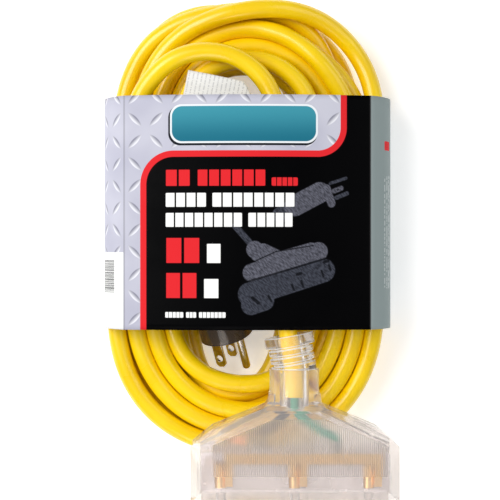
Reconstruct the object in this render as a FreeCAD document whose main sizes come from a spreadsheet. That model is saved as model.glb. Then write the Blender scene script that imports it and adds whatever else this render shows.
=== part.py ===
import FreeCAD, Part
import math
import os
import Sketcher

# A heavy-duty extension cord, coiled and held in a printed card sleeve.
# Frame: X to the right and Y towards the top of the coil as it lies, Z up.
# The origin is the middle of the sleeve's back panel, on the surface it lies on.

SIZES = [
    # the cord
    ("cord_diameter", 10.3, "outer diameter of the jacket"),
    ("wire_diameter", 4.1, "outer diameter of each insulated conductor"),
    ("cord_clearance", 0.4, "gap all round the jacket in a moulded bore"),
    ("coil_left_gap", 6.4, "coil's left edge inside the sleeve's left swell"),
    ("coil_right_gap", 7.4, "coil's right edge inside the sleeve's right swell"),
    ("coil_top", 118.0, "coil's top edge from the origin"),
    ("coil_bottom", 131.0, "coil's bottom edge from the origin"),
    ("coil_height", 30.0, "height of the stack of turns"),
    ("coil_edge_radius", 12.0, "rounding of the stack's edges"),
    ("hole_left", 31.0, "left edge of the hole through the coil"),
    ("hole_right", 12.0, "right edge of the hole through the coil"),
    ("hole_top", 58.0, "top end of the hole through the coil"),
    ("hole_bottom", 95.0, "bottom end of the hole through the coil"),
    # the card sleeve
    ("sleeve_width", 134.0, "width of the front panel between its creases"),
    ("sleeve_length", 127.0, "length of the sleeve along the coil"),
    ("sleeve_depth", 50.0, "height of the side creases above the back panel"),
    ("sleeve_crown", 7.0, "rise of the front panel's middle above its creases"),
    ("sleeve_bulge", 13.0, "swell of each side panel past its creases"),
    ("card_thickness", 0.6, "thickness of the card"),
    ("sleeve_clearance", 0.6, "gap between the card and the turns that lie on it"),
    # the triple outlet block
    ("tap_centre", 25.5, "outlet block's middle plane from the origin"),
    ("tap_end", 155.5, "outlet block's outlet end from the origin"),
    ("tap_rise", 48.0, "height of the outlet block's middle plane"),
    ("tap_width", 112.0, "overall width of the outlet block"),
    ("tap_side", 30.0, "length of the outlet block's straight sides"),
    ("tap_half_rim", 13.0, "half height of the block's straight outer wall"),
    ("tap_half_height", 16.0, "half height of the whole block"),
    ("tap_bevel_side", 7.8, "inward run of the bevel along the sides"),
    ("tap_bevel_end", 7.3, "inward run of the bevel along the outlet end"),
    ("shoulder_drop", 9.0, "length of the steep part of each shoulder"),
    ("shoulder_run", 11.0, "width of the steep part of each shoulder"),
    ("shoulder_length", 12.5, "length of the gentle part of each shoulder"),
    ("neck_radius", 13.5, "radius of the round neck"),
    ("neck_flare", 0.5, "extra radius where the neck meets the shoulders"),
    ("foot_half", 9.0, "half depth of the curved foot on each side of the neck"),
    ("foot_width", 12.0, "width of the neck's foot, most of it sunk into the shoulder"),
    ("foot_drop", 6.0, "depth of the neck's foot below its start"),
    ("foot_length", 6.0, "length of the neck's foot past its start"),
    ("foot_radius", 8.0, "radius of the curve from the neck into each shoulder"),
    ("neck_length", 19.2, "length of the neck past the shoulders"),
    ("jacket_inset", 3.9, "jacket's end in the neck, past the shoulders"),
    ("tap_corner_radius", 5.0, "rounding of the block's upright corners"),
    ("tap_side_wall", 5.8, "wall at the ends of the contact cavity"),
    ("tap_rim_wall", 2.0, "wall above and below the contact cavity"),
    ("moulding_clearance", 0.2, "gap between an insert and its cavity"),
    ("outlet_pitch", 40.0, "distance between neighbouring outlets"),
    ("face_thickness", 6.0, "thickness of the outlet face plate"),
    ("face_pad_rise", 0.9, "height of each raised outlet face"),
    ("face_pad_width", 19.0, "width of each raised outlet face"),
    ("face_pad_height", 20.0, "height of each raised outlet face"),
    ("carrier_depth", 20.0, "depth of the contact carrier behind the face plate"),
    # the contact pattern, shared by the outlets and the plug
    ("blade_spacing", 12.7, "distance between the two blades"),
    ("blade_width", 6.35, "width of a blade"),
    ("blade_thickness", 1.52, "thickness of a blade"),
    ("blade_length", 17.3, "length of a blade past the plug's face"),
    ("blade_hole", 3.96, "diameter of the hole in a blade"),
    ("blade_hole_setback", 5.2, "hole's centre from the blade's tip"),
    ("ground_offset", 11.9, "ground pin's centre from the blades' centre line"),
    ("ground_diameter", 4.75, "diameter of the ground pin"),
    ("ground_length", 21.4, "length of the ground pin past the plug's face"),
    ("ground_bore", 5.5, "diameter of an outlet's ground hole"),
    ("slot_gap", 0.5, "gap round a blade in an outlet's slot"),
    ("outlet_ground_rise", 6.4, "ground hole above the block's middle plane"),
    # the strips and contacts in the block
    ("strip_thickness", 0.8, "thickness of the line and neutral strips"),
    ("strip_width", 3.6, "width of the line and neutral strips"),
    ("strip_setback", 18.6, "strips from the outlet end"),
    ("contact_leaf", 0.5, "thickness of a contact leaf"),
    ("contact_gap", 0.1, "gap between a leaf and an entering blade"),
    ("contact_height", 5.0, "height of a blade contact"),
    ("contact_stagger", 0.6, "step that keeps each contact off the other strip"),
    ("ground_strip_thickness", 1.0, "thickness of the ground strip"),
    ("ground_strip_width", 5.4, "width of the ground strip"),
    ("ground_strip_setback", 20.3, "ground strip from the outlet end"),
    ("ground_leg_width", 4.0, "width of each leg of the ground strip"),
    ("ground_leg_offset", 4.6, "leg's centre from its outlet's centre"),
    ("ground_leg_end", 8.4, "free end of each leg from the outlet end"),
    ("terminal_wall", 0.65, "wall of a crimped wire terminal"),
    ("terminal_clearance", 0.05, "gap between a wire and its terminal"),
    ("terminal_length", 5.5, "length of a wire terminal's barrel"),
    # the strain relief on the block
    ("relief_length", 18.5, "length of the block's strain relief"),
    ("relief_radius", 12.1, "radius of the strain relief's ribs"),
    ("relief_rim_radius", 13.5, "radius of the strain relief's end rim"),
    ("relief_rim_length", 5.8, "length of the strain relief's end rim"),
    ("relief_groove_depth", 1.6, "depth of each groove"),
    ("relief_groove_width", 1.4, "width of each groove"),
    ("relief_lean", 10.0, "lean of the strain relief to the left, in degrees"),
    # the plug
    ("plug_x", -11.7, "centre of the plug's face across the coil"),
    ("plug_y", -68.0, "centre of the plug's face along the coil"),
    ("plug_z", 17.0, "height of the centre of the plug's face"),
    ("plug_yaw", 14.0, "turn of the prongs to the right, in degrees"),
    ("plug_pitch", 20.0, "tilt of the prongs towards the surface, in degrees"),
    ("plug_roll", 55.0, "roll of the plug about its own axis, in degrees"),
    ("plug_radius", 15.0, "radius of the plug's grip"),
    ("plug_grip_length", 16.0, "length of the plug's full-width grip"),
    ("plug_length", 40.0, "length of the plug's body"),
    ("plug_tail_radius", 10.0, "radius of the tail of the plug's body"),
    ("plug_bridge_radius", 11.4, "radius of the bridge that holds the prongs"),
    ("plug_bridge_length", 11.8, "length of the bridge that holds the prongs"),
    ("plug_chamber_length", 19.0, "depth of the wiring chamber"),
    ("plug_jacket_inset", 10.0, "length of jacket inside the plug's tail"),
    ("plug_blade_drop", 4.0, "blades' centre line from the plug's axis"),
    ("plug_relief_length", 22.0, "length of the plug's strain relief"),
    ("plug_relief_tip", 7.4, "radius of the tip of the plug's strain relief"),
    # small inner parts
    ("lamp_radius", 2.0, "radius of an indicator lamp"),
    ("lamp_length", 5.5, "length of an indicator lamp"),
    ("resistor_radius", 1.0, "radius of a lamp's resistor"),
    ("resistor_length", 4.5, "length of a lamp's resistor"),
    ("lamp_gap", 0.5, "gap between a lamp and its resistor"),
    # the paper tag
    ("tag_thickness", 0.5, "thickness of the folded paper tag"),
    ("tag_wrap_length", 8.0, "length of the tag's wrap along the cord"),
    ("tag_clearance", 0.15, "gap between the wrap and the jacket"),
    ("relief_reach", 6.0, "straight cord past the block's strain relief"),
    ("plug_relief_reach", 2.0, "straight cord past the plug's strain relief"),
    ("bevel_side_drop", 2.0, "bevel's upper edge below the end of the straight sides"),
    ("bevel_shoulder_shift", 2.0, "bevel's upper edge outside the shoulder's run"),
    ("bevel_shoulder_drop", 4.5, "bevel's upper edge below the shoulder"),
    ("bevel_neck_inset", 4.0, "bevel's upper edge inside the neck's foot"),
    ("bevel_neck_drop", 3.5, "bevel's upper edge below the neck's foot"),
    ("neck_overlap", 8.0, "length of the neck sunk into the block"),
    ("neck_flare_length", 10.0, "length over which the neck's foot narrows"),
    ("cavity_neck_half", 14.0, "half width of the hollow at the neck"),
    ("cavity_neck_drop", 3.5, "hollow's end below the neck's foot"),
    ("cord_bore_overlap", 6.0, "length of the cord bore inside the hollow"),
    ("ground_strip_gap", 0.3, "gap over the ground strip"),
    ("contact_setback", 1.5, "contacts' front behind the face plate"),
    ("sleeve_back_gap", 0.5, "gap between a ground sleeve and the ground strip"),
    ("foot_inset", 1.5, "ground contact's foot behind its sleeve's front"),
    ("foot_back_inset", 3.0, "ground contact's foot before its sleeve's back"),
    ("split_half", 0.6, "half width of the slit in a ground sleeve"),
    ("foot_overlap", 1.0, "ground contact's foot past its strip's leg"),
    ("slot_end_wall", 1.0, "carrier's wall at the ends of its slots"),
    ("channel_half", 3.0, "half width of the channel for the ground tongue"),
    ("channel_depth", 2.0, "depth of the channel for the ground tongue"),
    ("ground_pocket_depth", 2.0, "ground pocket behind the ground strip's front"),
    ("barrel_gap", 0.4, "gap between the carrier and the crimped barrels"),
    ("barrel_drop", 2.0, "ground barrel's axis under its strip"),
    ("barrel_lift", 1.2, "other barrels' axis over their strip"),
    ("tongue_half", 2.0, "half width of a terminal's tongue"),
    ("ground_tongue_inset", 1.0, "ground tongue's end on its strip"),
    ("tongue_inset", 0.6, "other tongues' ends on their strips"),
    ("tongue_overlap", 0.5, "length of a tongue under its barrel"),
    ("barrel_wall_end", 1.0, "closed end of a crimped barrel"),
    ("wire_seat", 1.2, "conductor's end inside a crimped barrel"),
    ("wire_lead_in", 9.0, "straight conductor at the jacket's end"),
    ("wire_run_out", 6.5, "straight conductor before a barrel"),
    ("plug_wire_straight", 8.0, "straight conductor behind a prong's barrel"),
    ("plug_wire_gather", 4.0, "straight conductor before the plug's jacket"),
    ("lamp_across", 27.0, "lamp's place left of the block's middle"),
    ("lamp_back", 5.0, "lamp's place behind the barrels' front"),
    ("lamp_lift", 4.0, "lamp's place over the block's middle"),
    ("plug_lamp_gap", 1.0, "gap between the plug's bridge and its lamp"),
    ("plug_rib_gap", 1.4, "width of a groove in the plug's strain relief"),
    ("plug_rib_depth", 1.2, "depth of a groove in the plug's strain relief"),
    ("pin_tip_flat", 0.3, "radius of the flat at the ground pin's tip"),
    ("cut_past", 1.0, "how far a cut runs past what it opens"),
]

# Routes that were laid by hand, in millimetres. Each list starts after the
# straight stretch that the fitting itself fixes, and ends inside the coil.
TAP_ROUTE = [
    (17.4, -36.0, 47.8),
    (16.6, 0.0, 47.6),
    (16.0, 34.0, 47.5),
    (16.0, 65.7, 47.5),
    (-6.3, 88.0, 47.5),
    (-37.7, 88.0, 47.0),
    (-60.0, 65.7, 44.6),
    (-64.5, 40.0, 41.0),
    (-69.0, 14.0, 35.5),
    (-72.5, -11.0, 29.0),
]
PLUG_ROUTE = [
    (-35.0, 24.0, 46.8),
    (-35.5, 49.0, 40.6),
    (-31.0, 71.5, 38.2),
    (-13.5, 85.0, 36.6),
    (15.5, 85.0, 36.4),
    (36.0, 64.5, 36.4),
    (33.5, 38.0, 33.2),
    (29.0, 14.0, 27.5),
]

doc = FreeCAD.newDocument("ExtensionCord")
sheet = doc.addObject("Spreadsheet::Sheet", "Sizes")
for row, (alias, number, note) in enumerate(SIZES, start=1):
    sheet.set(f"A{row}", alias)
    sheet.set(f"B{row}", str(number))
    sheet.setAlias(f"B{row}", alias)
    sheet.set(f"C{row}", note)
doc.recompute()

NAMES = sorted((alias for alias, number, note in SIZES), key=len, reverse=True)


def bound(text):
    """Turn a plain formula of size names into an expression on the sheet."""
    words = []
    word = ""
    for letter in text + " ":
        if letter.isalnum() or letter == "_":
            word += letter
            continue
        words.append(f"Sizes.{word}" if word in NAMES else word)
        words.append(letter)
        word = ""
    return "".join(words).strip()


def value(text):
    """Work out a formula of size names as a number."""
    return float(sheet.evalExpression(bound(str(text))))


def bind(item, prop, text):
    """Tie a property to a formula of size names."""
    item.setExpression(prop, bound(str(text)))


def new_sketch(body, name, role, offset):
    """A sketch on one of the body's own origin planes, moved along its normal."""
    sketch = body.newObject("Sketcher::SketchObject", name)
    plane = next(item for item in body.Origin.OriginFeatures if item.Role == role)
    sketch.AttachmentSupport = [(plane, "")]
    sketch.MapMode = "FlatFace"
    if offset is not None:
        bind(sketch, ".AttachmentOffset.Base.z", offset)
    return sketch


def pin_point(sketch, geometry, end, x, y):
    """Hold a point of a sketch at two formulas, measured from its origin."""
    for kind, text in (("DistanceX", x), ("DistanceY", y)):
        number = value(text)
        if abs(number) < 1e-9:
            on_axis = -2 if kind == "DistanceX" else -1
            sketch.addConstraint(Sketcher.Constraint("PointOnObject", geometry, end, on_axis))
            continue
        index = sketch.addConstraint(Sketcher.Constraint(kind, -1, 1, geometry, end, number))
        bind(sketch, f"Constraints[{index}]", text)


def polygon(corners, arcs=None):
    """A closed outline. arcs gives the rise and radius of the sides that are round."""
    arcs = arcs or {}

    def draw(sketch):
        spots = [FreeCAD.Vector(value(x), value(y), 0) for x, y in corners]
        sides = []
        for i, start in enumerate(spots):
            end = spots[(i + 1) % len(spots)]
            if i in arcs:
                chord = end - start
                outward = FreeCAD.Vector(chord.y, -chord.x, 0).normalize()
                middle = (start + end) * 0.5 + outward * value(arcs[i][0])
                side = Part.Arc(start, middle, end)
            else:
                side = Part.LineSegment(start, end)
            sides.append(sketch.addGeometry(side, False))
        starts = [1 if i not in arcs else None for i in sides]
        for i, side in enumerate(sides):
            first, last = (1, 2)
            if i in arcs:
                geometry = sketch.Geometry[side]
                if (geometry.StartPoint - spots[i]).Length > 1e-6:
                    first, last = (2, 1)
            starts[i] = (first, last)
        for i, side in enumerate(sides):
            after = (i + 1) % len(sides)
            sketch.addConstraint(
                Sketcher.Constraint("Coincident", side, starts[i][1], sides[after], starts[after][0]))
        for i, side in enumerate(sides):
            pin_point(sketch, side, starts[i][0], *corners[i])
            if i not in arcs:
                continue
            if arcs[i][1] == "half turn":
                level = value(corners[i][1])
                index = sketch.addConstraint(
                    Sketcher.Constraint("DistanceY", -1, 1, side, 3, level))
                bind(sketch, f"Constraints[{index}]", corners[i][1])
                continue
            radius = value(arcs[i][1])
            index = sketch.addConstraint(Sketcher.Constraint("Radius", side, radius))
            bind(sketch, f"Constraints[{index}]", arcs[i][1])

    return draw


def rectangle(left, low, right, high):
    return polygon([(left, low), (right, low), (right, high), (left, high)])


def circle(x, y, radius):
    def draw(sketch):
        centre = FreeCAD.Vector(value(x), value(y), 0)
        up = FreeCAD.Vector(0, 0, 1)
        side = sketch.addGeometry(Part.Circle(centre, up, value(radius)), False)
        pin_point(sketch, side, 3, x, y)
        index = sketch.addConstraint(Sketcher.Constraint("Radius", side, value(radius)))
        bind(sketch, f"Constraints[{index}]", radius)

    return draw


def stadium(left, right, low, high):
    """A slot shape with round ends, between four formulas."""
    radius = f"(({right}) - ({left})) / 2"
    low_centre = f"({low}) + {radius}"
    high_centre = f"({high}) - {radius}"
    corners = [(left, high_centre), (left, low_centre), (right, low_centre), (right, high_centre)]
    return polygon(corners, {1: (radius, "half turn"), 3: (radius, "half turn")})


# ---------------------------------------------------------------- features

def new_body(label):
    body = doc.addObject("PartDesign::Body", label)
    body.Label = label
    return body


def prism(body, name, role, low, high, draws, cut=False):
    """Raise or cut outlines between two heights above one of the body's planes."""
    # The XZ plane faces -Y, so its heights are turned round.
    facing = -1 if role == "XZ_Plane" else 1
    start = low if (facing == 1) != cut else high
    sketch = new_sketch(body, name + "Sketch", role, f"({start}) * {facing}")
    for draw in draws:
        draw(sketch)
    kind = "PartDesign::Pocket" if cut else "PartDesign::Pad"
    before = body.Shape.Volume if cut else 0.0
    feature = body.newObject(kind, name)
    feature.Profile = sketch
    feature.Type = 0
    bind(feature, "Length", f"({high}) - ({low})")
    body.Tip = feature
    doc.recompute()
    if cut and not body.Shape.Volume < before - 1e-6:
        raise RuntimeError(f"{body.Label}: {name} cuts nothing")
    return feature


def revolve(body, name, corners, arcs=None):
    """Turn an outline of (radius, height) pairs about the body's Y axis."""
    sketch = new_sketch(body, name + "Sketch", "XY_Plane", None)
    polygon(corners, arcs)(sketch)
    feature = body.newObject("PartDesign::Revolution", name)
    feature.Profile = sketch
    feature.ReferenceAxis = (sketch, ["V_Axis"])
    feature.Angle = 360
    body.Tip = feature
    doc.recompute()
    return feature


def loft(body, name, low, high, low_corners, high_corners):
    """A ruled block between two outlines at two heights above the XY plane."""
    base = new_sketch(body, name + "Base", "XY_Plane", low)
    polygon(low_corners)(base)
    top = new_sketch(body, name + "Top", "XY_Plane", high)
    polygon(high_corners)(top)
    feature = body.newObject("PartDesign::AdditiveLoft", name)
    feature.Profile = base
    feature.Sections = [top]
    feature.Ruled = True
    body.Tip = feature
    doc.recompute()
    return feature


def fillet(body, name, radius, choose):
    """Round the edges of the body so far that the choose function picks."""
    base = body.Tip
    edges = [f"Edge{i}" for i, edge in enumerate(base.Shape.Edges, start=1) if choose(edge)]
    feature = body.newObject("PartDesign::Fillet", name)
    feature.Base = (base, edges)
    bind(feature, "Radius", radius)
    body.Tip = feature
    doc.recompute()
    return feature


def row_of(body, name, feature, pitch, count):
    """Repeat a feature along the body's X axis."""
    pattern = body.newObject("PartDesign::LinearPattern", name)
    pattern.Originals = [feature]
    axis = next(item for item in body.Origin.OriginFeatures if item.Role == "X_Axis")
    pattern.Direction = (axis, [""])
    pattern.Occurrences = count
    bind(pattern, "Length", f"({pitch}) * {count - 1}")
    body.Tip = pattern
    doc.recompute()
    return pattern


def upright(edge):
    """True for a straight edge that runs along Z."""
    low, high = edge.Vertexes[0].Point, edge.Vertexes[-1].Point
    return abs(low.x - high.x) < 1e-4 and abs(low.y - high.y) < 1e-4


def in_tap(body):
    """Stand a piece in the outlet block: X across it, Y from its outlet end."""
    bind(body, ".Placement.Base.x", "tap_centre")
    bind(body, ".Placement.Base.y", "-tap_end")
    bind(body, ".Placement.Base.z", "tap_rise")


def plug_turn():
    """The plug's attitude: rolled, then tilted, then turned."""
    roll = FreeCAD.Rotation(FreeCAD.Vector(0, 1, 0), value("plug_roll"))
    pitch = FreeCAD.Rotation(FreeCAD.Vector(1, 0, 0), value("plug_pitch"))
    yaw = FreeCAD.Rotation(FreeCAD.Vector(0, 0, 1), value("plug_yaw"))
    return yaw.multiply(pitch).multiply(roll)


def in_plug(body):
    """Stand a piece in the plug: X across the blades, Y back from the face, Z to ground."""
    spot = FreeCAD.Vector(value("plug_x"), value("plug_y"), value("plug_z"))
    body.Placement = FreeCAD.Placement(spot, plug_turn())


# ---------------------------------------------------------------- tubes

def rounded_path(points, label):
    """Straight runs joined by tangent arcs, each as large as its runs allow."""
    spots = [FreeCAD.Vector(*point) for point in points]
    edges = []
    radii = []
    last = spots[0]
    for i in range(1, len(spots) - 1):
        back = spots[i - 1] - spots[i]
        ahead = spots[i + 1] - spots[i]
        turn = math.pi - back.getAngle(ahead)
        trim = 0.45 * min(back.Length, ahead.Length)
        radii.append(trim / math.tan(turn / 2))
        enter = spots[i] + back.normalize() * trim
        leave = spots[i] + ahead.normalize() * trim
        half = (back + ahead).normalize()
        reach = radii[-1] / math.cos(turn / 2) - radii[-1]
        edges.append(Part.LineSegment(last, enter).toShape())
        edges.append(Part.Arc(enter, spots[i] + half * reach, leave).toShape())
        last = leave
    edges.append(Part.LineSegment(last, spots[-1]).toShape())
    if radii:
        print(label, "bend radii", [round(radius, 1) for radius in radii])
    return Part.Wire(edges)


def tube(label, points, diameter):
    """A solid round tube along a route, kept only if its volume is section times length."""
    path = rounded_path(points, label)
    start = FreeCAD.Vector(*points[0])
    along = FreeCAD.Vector(*points[1]) - start
    ring = Part.Wire([Part.Circle(start, along, diameter / 2).toShape()])
    solid = path.makePipeShell([ring], True, False)
    expected = math.pi * diameter ** 2 / 4 * path.Length
    print(label, "length", round(path.Length, 1), "volume ratio", round(solid.Volume / expected, 4))
    item = doc.addObject("Part::Feature", label)
    item.Label = label
    item.Shape = solid
    return item


# ---------------------------------------------------------------- the sleeve

def make_sleeve():
    """The card: a flat back, swelling sides and a crowned front, open at both ends."""
    body = new_body("sleeve_card")
    half = "sleeve_width / 2"
    side_radius = "((sleeve_depth / 2)^2 + sleeve_bulge^2) / (2 * sleeve_bulge)"
    front_radius = "((sleeve_width / 2)^2 + sleeve_crown^2) / (2 * sleeve_crown)"
    outside = polygon(
        [(f"-{half}", "0"), (half, "0"), (half, "sleeve_depth"), (f"-{half}", "sleeve_depth")],
        {1: ("sleeve_bulge", side_radius),
         2: ("sleeve_crown", front_radius),
         3: ("sleeve_bulge", side_radius)})
    ends = ("-sleeve_length / 2", "sleeve_length / 2")
    prism(body, "Wrap", "XZ_Plane", *ends, [outside])
    inner_half = "(sleeve_width / 2 - card_thickness)"
    inner_depth = "(sleeve_depth / 2 - card_thickness)"
    inner_side = f"({inner_depth}^2 + sleeve_bulge^2) / (2 * sleeve_bulge)"
    inner_front = f"({inner_half}^2 + sleeve_crown^2) / (2 * sleeve_crown)"
    low = "card_thickness"
    high = "sleeve_depth - card_thickness"
    inside = polygon(
        [(f"-{inner_half}", low), (inner_half, low), (inner_half, high), (f"-{inner_half}", high)],
        {1: ("sleeve_bulge", inner_side),
         2: ("sleeve_crown", inner_front),
         3: ("sleeve_bulge", inner_side)})
    prism(body, "Inside", "XZ_Plane", *ends, [inside], cut=True)


# ---------------------------------------------------------------- the cord

def make_coil():
    """The stack of turns as one ring with rounded edges."""
    body = new_body("cord_coil")
    low = "card_thickness + sleeve_clearance"
    swell = "sleeve_width / 2 + sleeve_bulge"
    outside = stadium(f"-({swell} - coil_left_gap)", f"{swell} - coil_right_gap",
                      "-coil_bottom", "coil_top")
    hole = stadium("-hole_left", "hole_right", "-hole_bottom", "hole_top")
    prism(body, "Stack", "XY_Plane", low, f"{low} + coil_height", [outside, hole])
    fillet(body, "Edges", "coil_edge_radius", lambda edge: not upright(edge))


def tap_exit():
    """Where the cord leaves the block: jacket's end, neck's end and relief's tip."""
    x, z = value("tap_centre"), value("tap_rise")
    neck = value("tap_side + shoulder_drop + shoulder_length + neck_length - tap_end")
    jacket = neck - value("neck_length - jacket_inset")
    lean = math.radians(value("relief_lean"))
    reach = value("relief_length + relief_reach")
    tip = (x - reach * math.sin(lean), neck + reach * math.cos(lean), z)
    return [(x, jacket, z), (x, neck, z), tip]


def plug_exit():
    """Where the cord leaves the plug: jacket's end and past the relief's tip."""
    spot = FreeCAD.Vector(value("plug_x"), value("plug_y"), value("plug_z"))
    axis = plug_turn().multVec(FreeCAD.Vector(0, 1, 0))
    jacket = spot + axis * value("plug_length - plug_jacket_inset")
    tip = spot + axis * value("plug_length + plug_relief_length + plug_relief_reach")
    return [tuple(jacket), tuple(tip)]


def make_leads():
    tube("tap_lead", tap_exit() + TAP_ROUTE, value("cord_diameter"))
    tube("plug_lead", plug_exit() + PLUG_ROUTE, value("cord_diameter"))


def make_tag():
    """A folded paper flag with one clipped corner, wrapped round the plug's lead."""
    body = new_body("cord_tag")
    inner = "cord_diameter / 2 + tag_clearance"
    prism(body, "Wrap", "XZ_Plane", "0", "tag_wrap_length",
          [circle("0", "0", f"{inner} + tag_thickness"), circle("0", "0", inner)])
    low = f"{inner}"
    corners = [("0", "0"), ("38", "-2"), ("39", "38"), ("35", "43"), ("0", "50"), ("-2", "22")]
    prism(body, "Flag", "XY_Plane", low, f"{inner} + tag_thickness", [polygon(corners)])
    first, second = FreeCAD.Vector(*PLUG_ROUTE[0]), FreeCAD.Vector(*PLUG_ROUTE[1])
    turn = FreeCAD.Rotation(FreeCAD.Vector(0, 1, 0), second - first)
    half_wrap = FreeCAD.Vector(0, value("tag_wrap_length") / 2, 0)
    body.Placement = FreeCAD.Placement((first + second) * 0.5 - turn.multVec(half_wrap), turn)


# ---------------------------------------------------------------- the outlet block

HALF_TAP = "(tap_width / 2)"
CAVITY_HALF = "(tap_width / 2 - tap_side_wall)"
CAVITY_RISE = "(tap_half_rim - tap_rim_wall)"
INSERT_HALF = f"({CAVITY_HALF} - moulding_clearance)"
INSERT_RISE = f"({CAVITY_RISE} - moulding_clearance)"
SHOULDER = "(tap_side + shoulder_drop)"
NECK_START = "(tap_side + shoulder_drop + shoulder_length)"
NECK_END = "(tap_side + shoulder_drop + shoulder_length + neck_length)"
CORD_BORE = "(cord_diameter / 2 + cord_clearance)"
BLADE_LEVEL = "(outlet_ground_rise - ground_offset)"
CARRIER_BACK = "(face_thickness + moulding_clearance + carrier_depth)"


def mirrored(points):
    """An outline whose left half mirrors its right half."""
    right = list(points)
    left = [(f"-({x})", y) for x, y in reversed(right)]
    return right + left


def make_housing():
    """The clear block: straight rim, bevelled faces, round neck, hollow inside."""
    body = new_body("tap_housing")
    flare = "neck_radius + neck_flare"
    rim = mirrored([
        (HALF_TAP, "0"),
        (HALF_TAP, "tap_side"),
        (f"{HALF_TAP} - shoulder_run", SHOULDER),
        (flare, NECK_START)])
    raised = mirrored([
        (f"{HALF_TAP} - tap_bevel_side", "tap_bevel_end"),
        (f"{HALF_TAP} - tap_bevel_side", "tap_side - bevel_side_drop"),
        (f"{HALF_TAP} - tap_bevel_side - shoulder_run + bevel_shoulder_shift",
         f"{SHOULDER} - bevel_shoulder_drop"),
        (f"{flare} - bevel_neck_inset", f"{NECK_START} - bevel_neck_drop")])
    foot = mirrored([
        (f"{flare} + foot_width", f"{NECK_START} - foot_drop"),
        (flare, NECK_START),
        (flare, f"{NECK_START} + foot_length")])
    prism(body, "Foot", "XY_Plane", "-foot_half", "foot_half", [polygon(foot)])
    fillet(body, "FootCurves", "foot_radius",
           lambda edge: upright(edge) and abs(edge.Vertexes[0].Point.y - value(NECK_START)) < 1)
    prism(body, "Rim", "XY_Plane", "-tap_half_rim", "tap_half_rim", [polygon(rim)])
    fillet(body, "Corners", "tap_corner_radius",
           lambda edge: upright(edge)
           and abs(edge.Vertexes[0].Point.x) > value(f"{flare} + foot_width")
           and edge.Vertexes[0].Point.y > 1)
    loft(body, "Upper", "tap_half_rim", "tap_half_height", rim, raised)
    loft(body, "Lower", "-tap_half_rim", "-tap_half_height", rim, raised)
    neck = [
        ("0", f"{NECK_START} - neck_overlap"),
        (flare, f"{NECK_START} - neck_overlap"),
        (flare, NECK_START),
        ("neck_radius", f"{NECK_START} + neck_flare_length"),
        ("neck_radius", NECK_END),
        ("0", NECK_END)]
    revolve(body, "Neck", neck)
    cavity = mirrored([
        (CAVITY_HALF, "0"),
        (CAVITY_HALF, "tap_side"),
        ("cavity_neck_half", f"{NECK_START} - cavity_neck_drop")])
    prism(body, "Cavity", "XY_Plane", f"-{CAVITY_RISE}", CAVITY_RISE, [polygon(cavity)], cut=True)
    prism(body, "CordBore", "XZ_Plane", f"{NECK_START} - cord_bore_overlap", f"{NECK_END} + cut_past",
          [circle("0", "0", CORD_BORE)], cut=True)
    in_tap(body)


def make_relief():
    """The ribbed strain relief, leaning a little, its base trimmed to the neck's face."""
    body = new_body("tap_strain_relief")
    outline = [(CORD_BORE, "-3"), ("relief_radius", "-3")]
    grooves = 3
    pitch = f"((relief_length - relief_rim_length) / {grooves})"
    for i in range(grooves):
        end = f"{pitch} * {i + 1}"
        deep = "relief_radius - relief_groove_depth"
        outline += [
            ("relief_radius", f"{end} - relief_groove_width"),
            (deep, f"{end} - relief_groove_width"),
            (deep, end)]
        outline.append(("relief_radius" if i < grooves - 1 else "relief_rim_radius", end))
    outline += [("relief_rim_radius", "relief_length"), (CORD_BORE, "relief_length")]
    revolve(body, "Ribs", outline)
    slope = "tan(relief_lean * 1deg)"
    wide = "(relief_rim_radius + 5)"
    trim = polygon([
        (f"-{wide}", f"{wide} * {slope}"),
        (f"-{wide}", f"-{wide}"),
        (wide, f"-{wide}"),
        (wide, f"-{wide} * {slope}")])
    prism(body, "Trim", "XY_Plane", f"-{wide}", wide, [trim], cut=True)
    lean = FreeCAD.Rotation(FreeCAD.Vector(0, 0, 1), value("relief_lean"))
    neck = FreeCAD.Vector(value("tap_centre"), value(f"{NECK_END} - tap_end"), value("tap_rise"))
    body.Placement = FreeCAD.Placement(neck, lean)


def outlet_at(i):
    """Formula for the centre of outlet i, counted from the left."""
    return f"(outlet_pitch * {i - 1})"


def make_face():
    """The face plate with three raised outlets, each with two slots and a round hole."""
    body = new_body("tap_face")
    plate = rectangle(f"-{INSERT_HALF}", f"-{INSERT_RISE}", INSERT_HALF, INSERT_RISE)
    prism(body, "Plate", "XZ_Plane", "0", "face_thickness", [plate])
    pad = rectangle(
        f"{outlet_at(0)} - face_pad_width / 2", "-face_pad_height / 2",
        f"{outlet_at(0)} + face_pad_width / 2", "face_pad_height / 2")
    raised = prism(body, "Pad", "XZ_Plane", "-face_pad_rise", "0", [pad])
    row_of(body, "Pads", raised, "outlet_pitch", 3)
    holes = [circle(outlet_at(0), "outlet_ground_rise", "ground_bore / 2")]
    for side in (-1, 1):
        middle = f"{outlet_at(0)} + {side} * blade_spacing / 2"
        half = "(blade_thickness / 2 + slot_gap)"
        tall = "(blade_width / 2 + slot_gap)"
        holes.append(rectangle(
            f"{middle} - {half}", f"{BLADE_LEVEL} - {tall}",
            f"{middle} + {half}", f"{BLADE_LEVEL} + {tall}"))
    openings = prism(body, "Openings", "XZ_Plane", "-face_pad_rise - cut_past", "face_thickness + cut_past",
                     holes, cut=True)
    row_of(body, "OpeningsRow", openings, "outlet_pitch", 3)
    in_tap(body)


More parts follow.
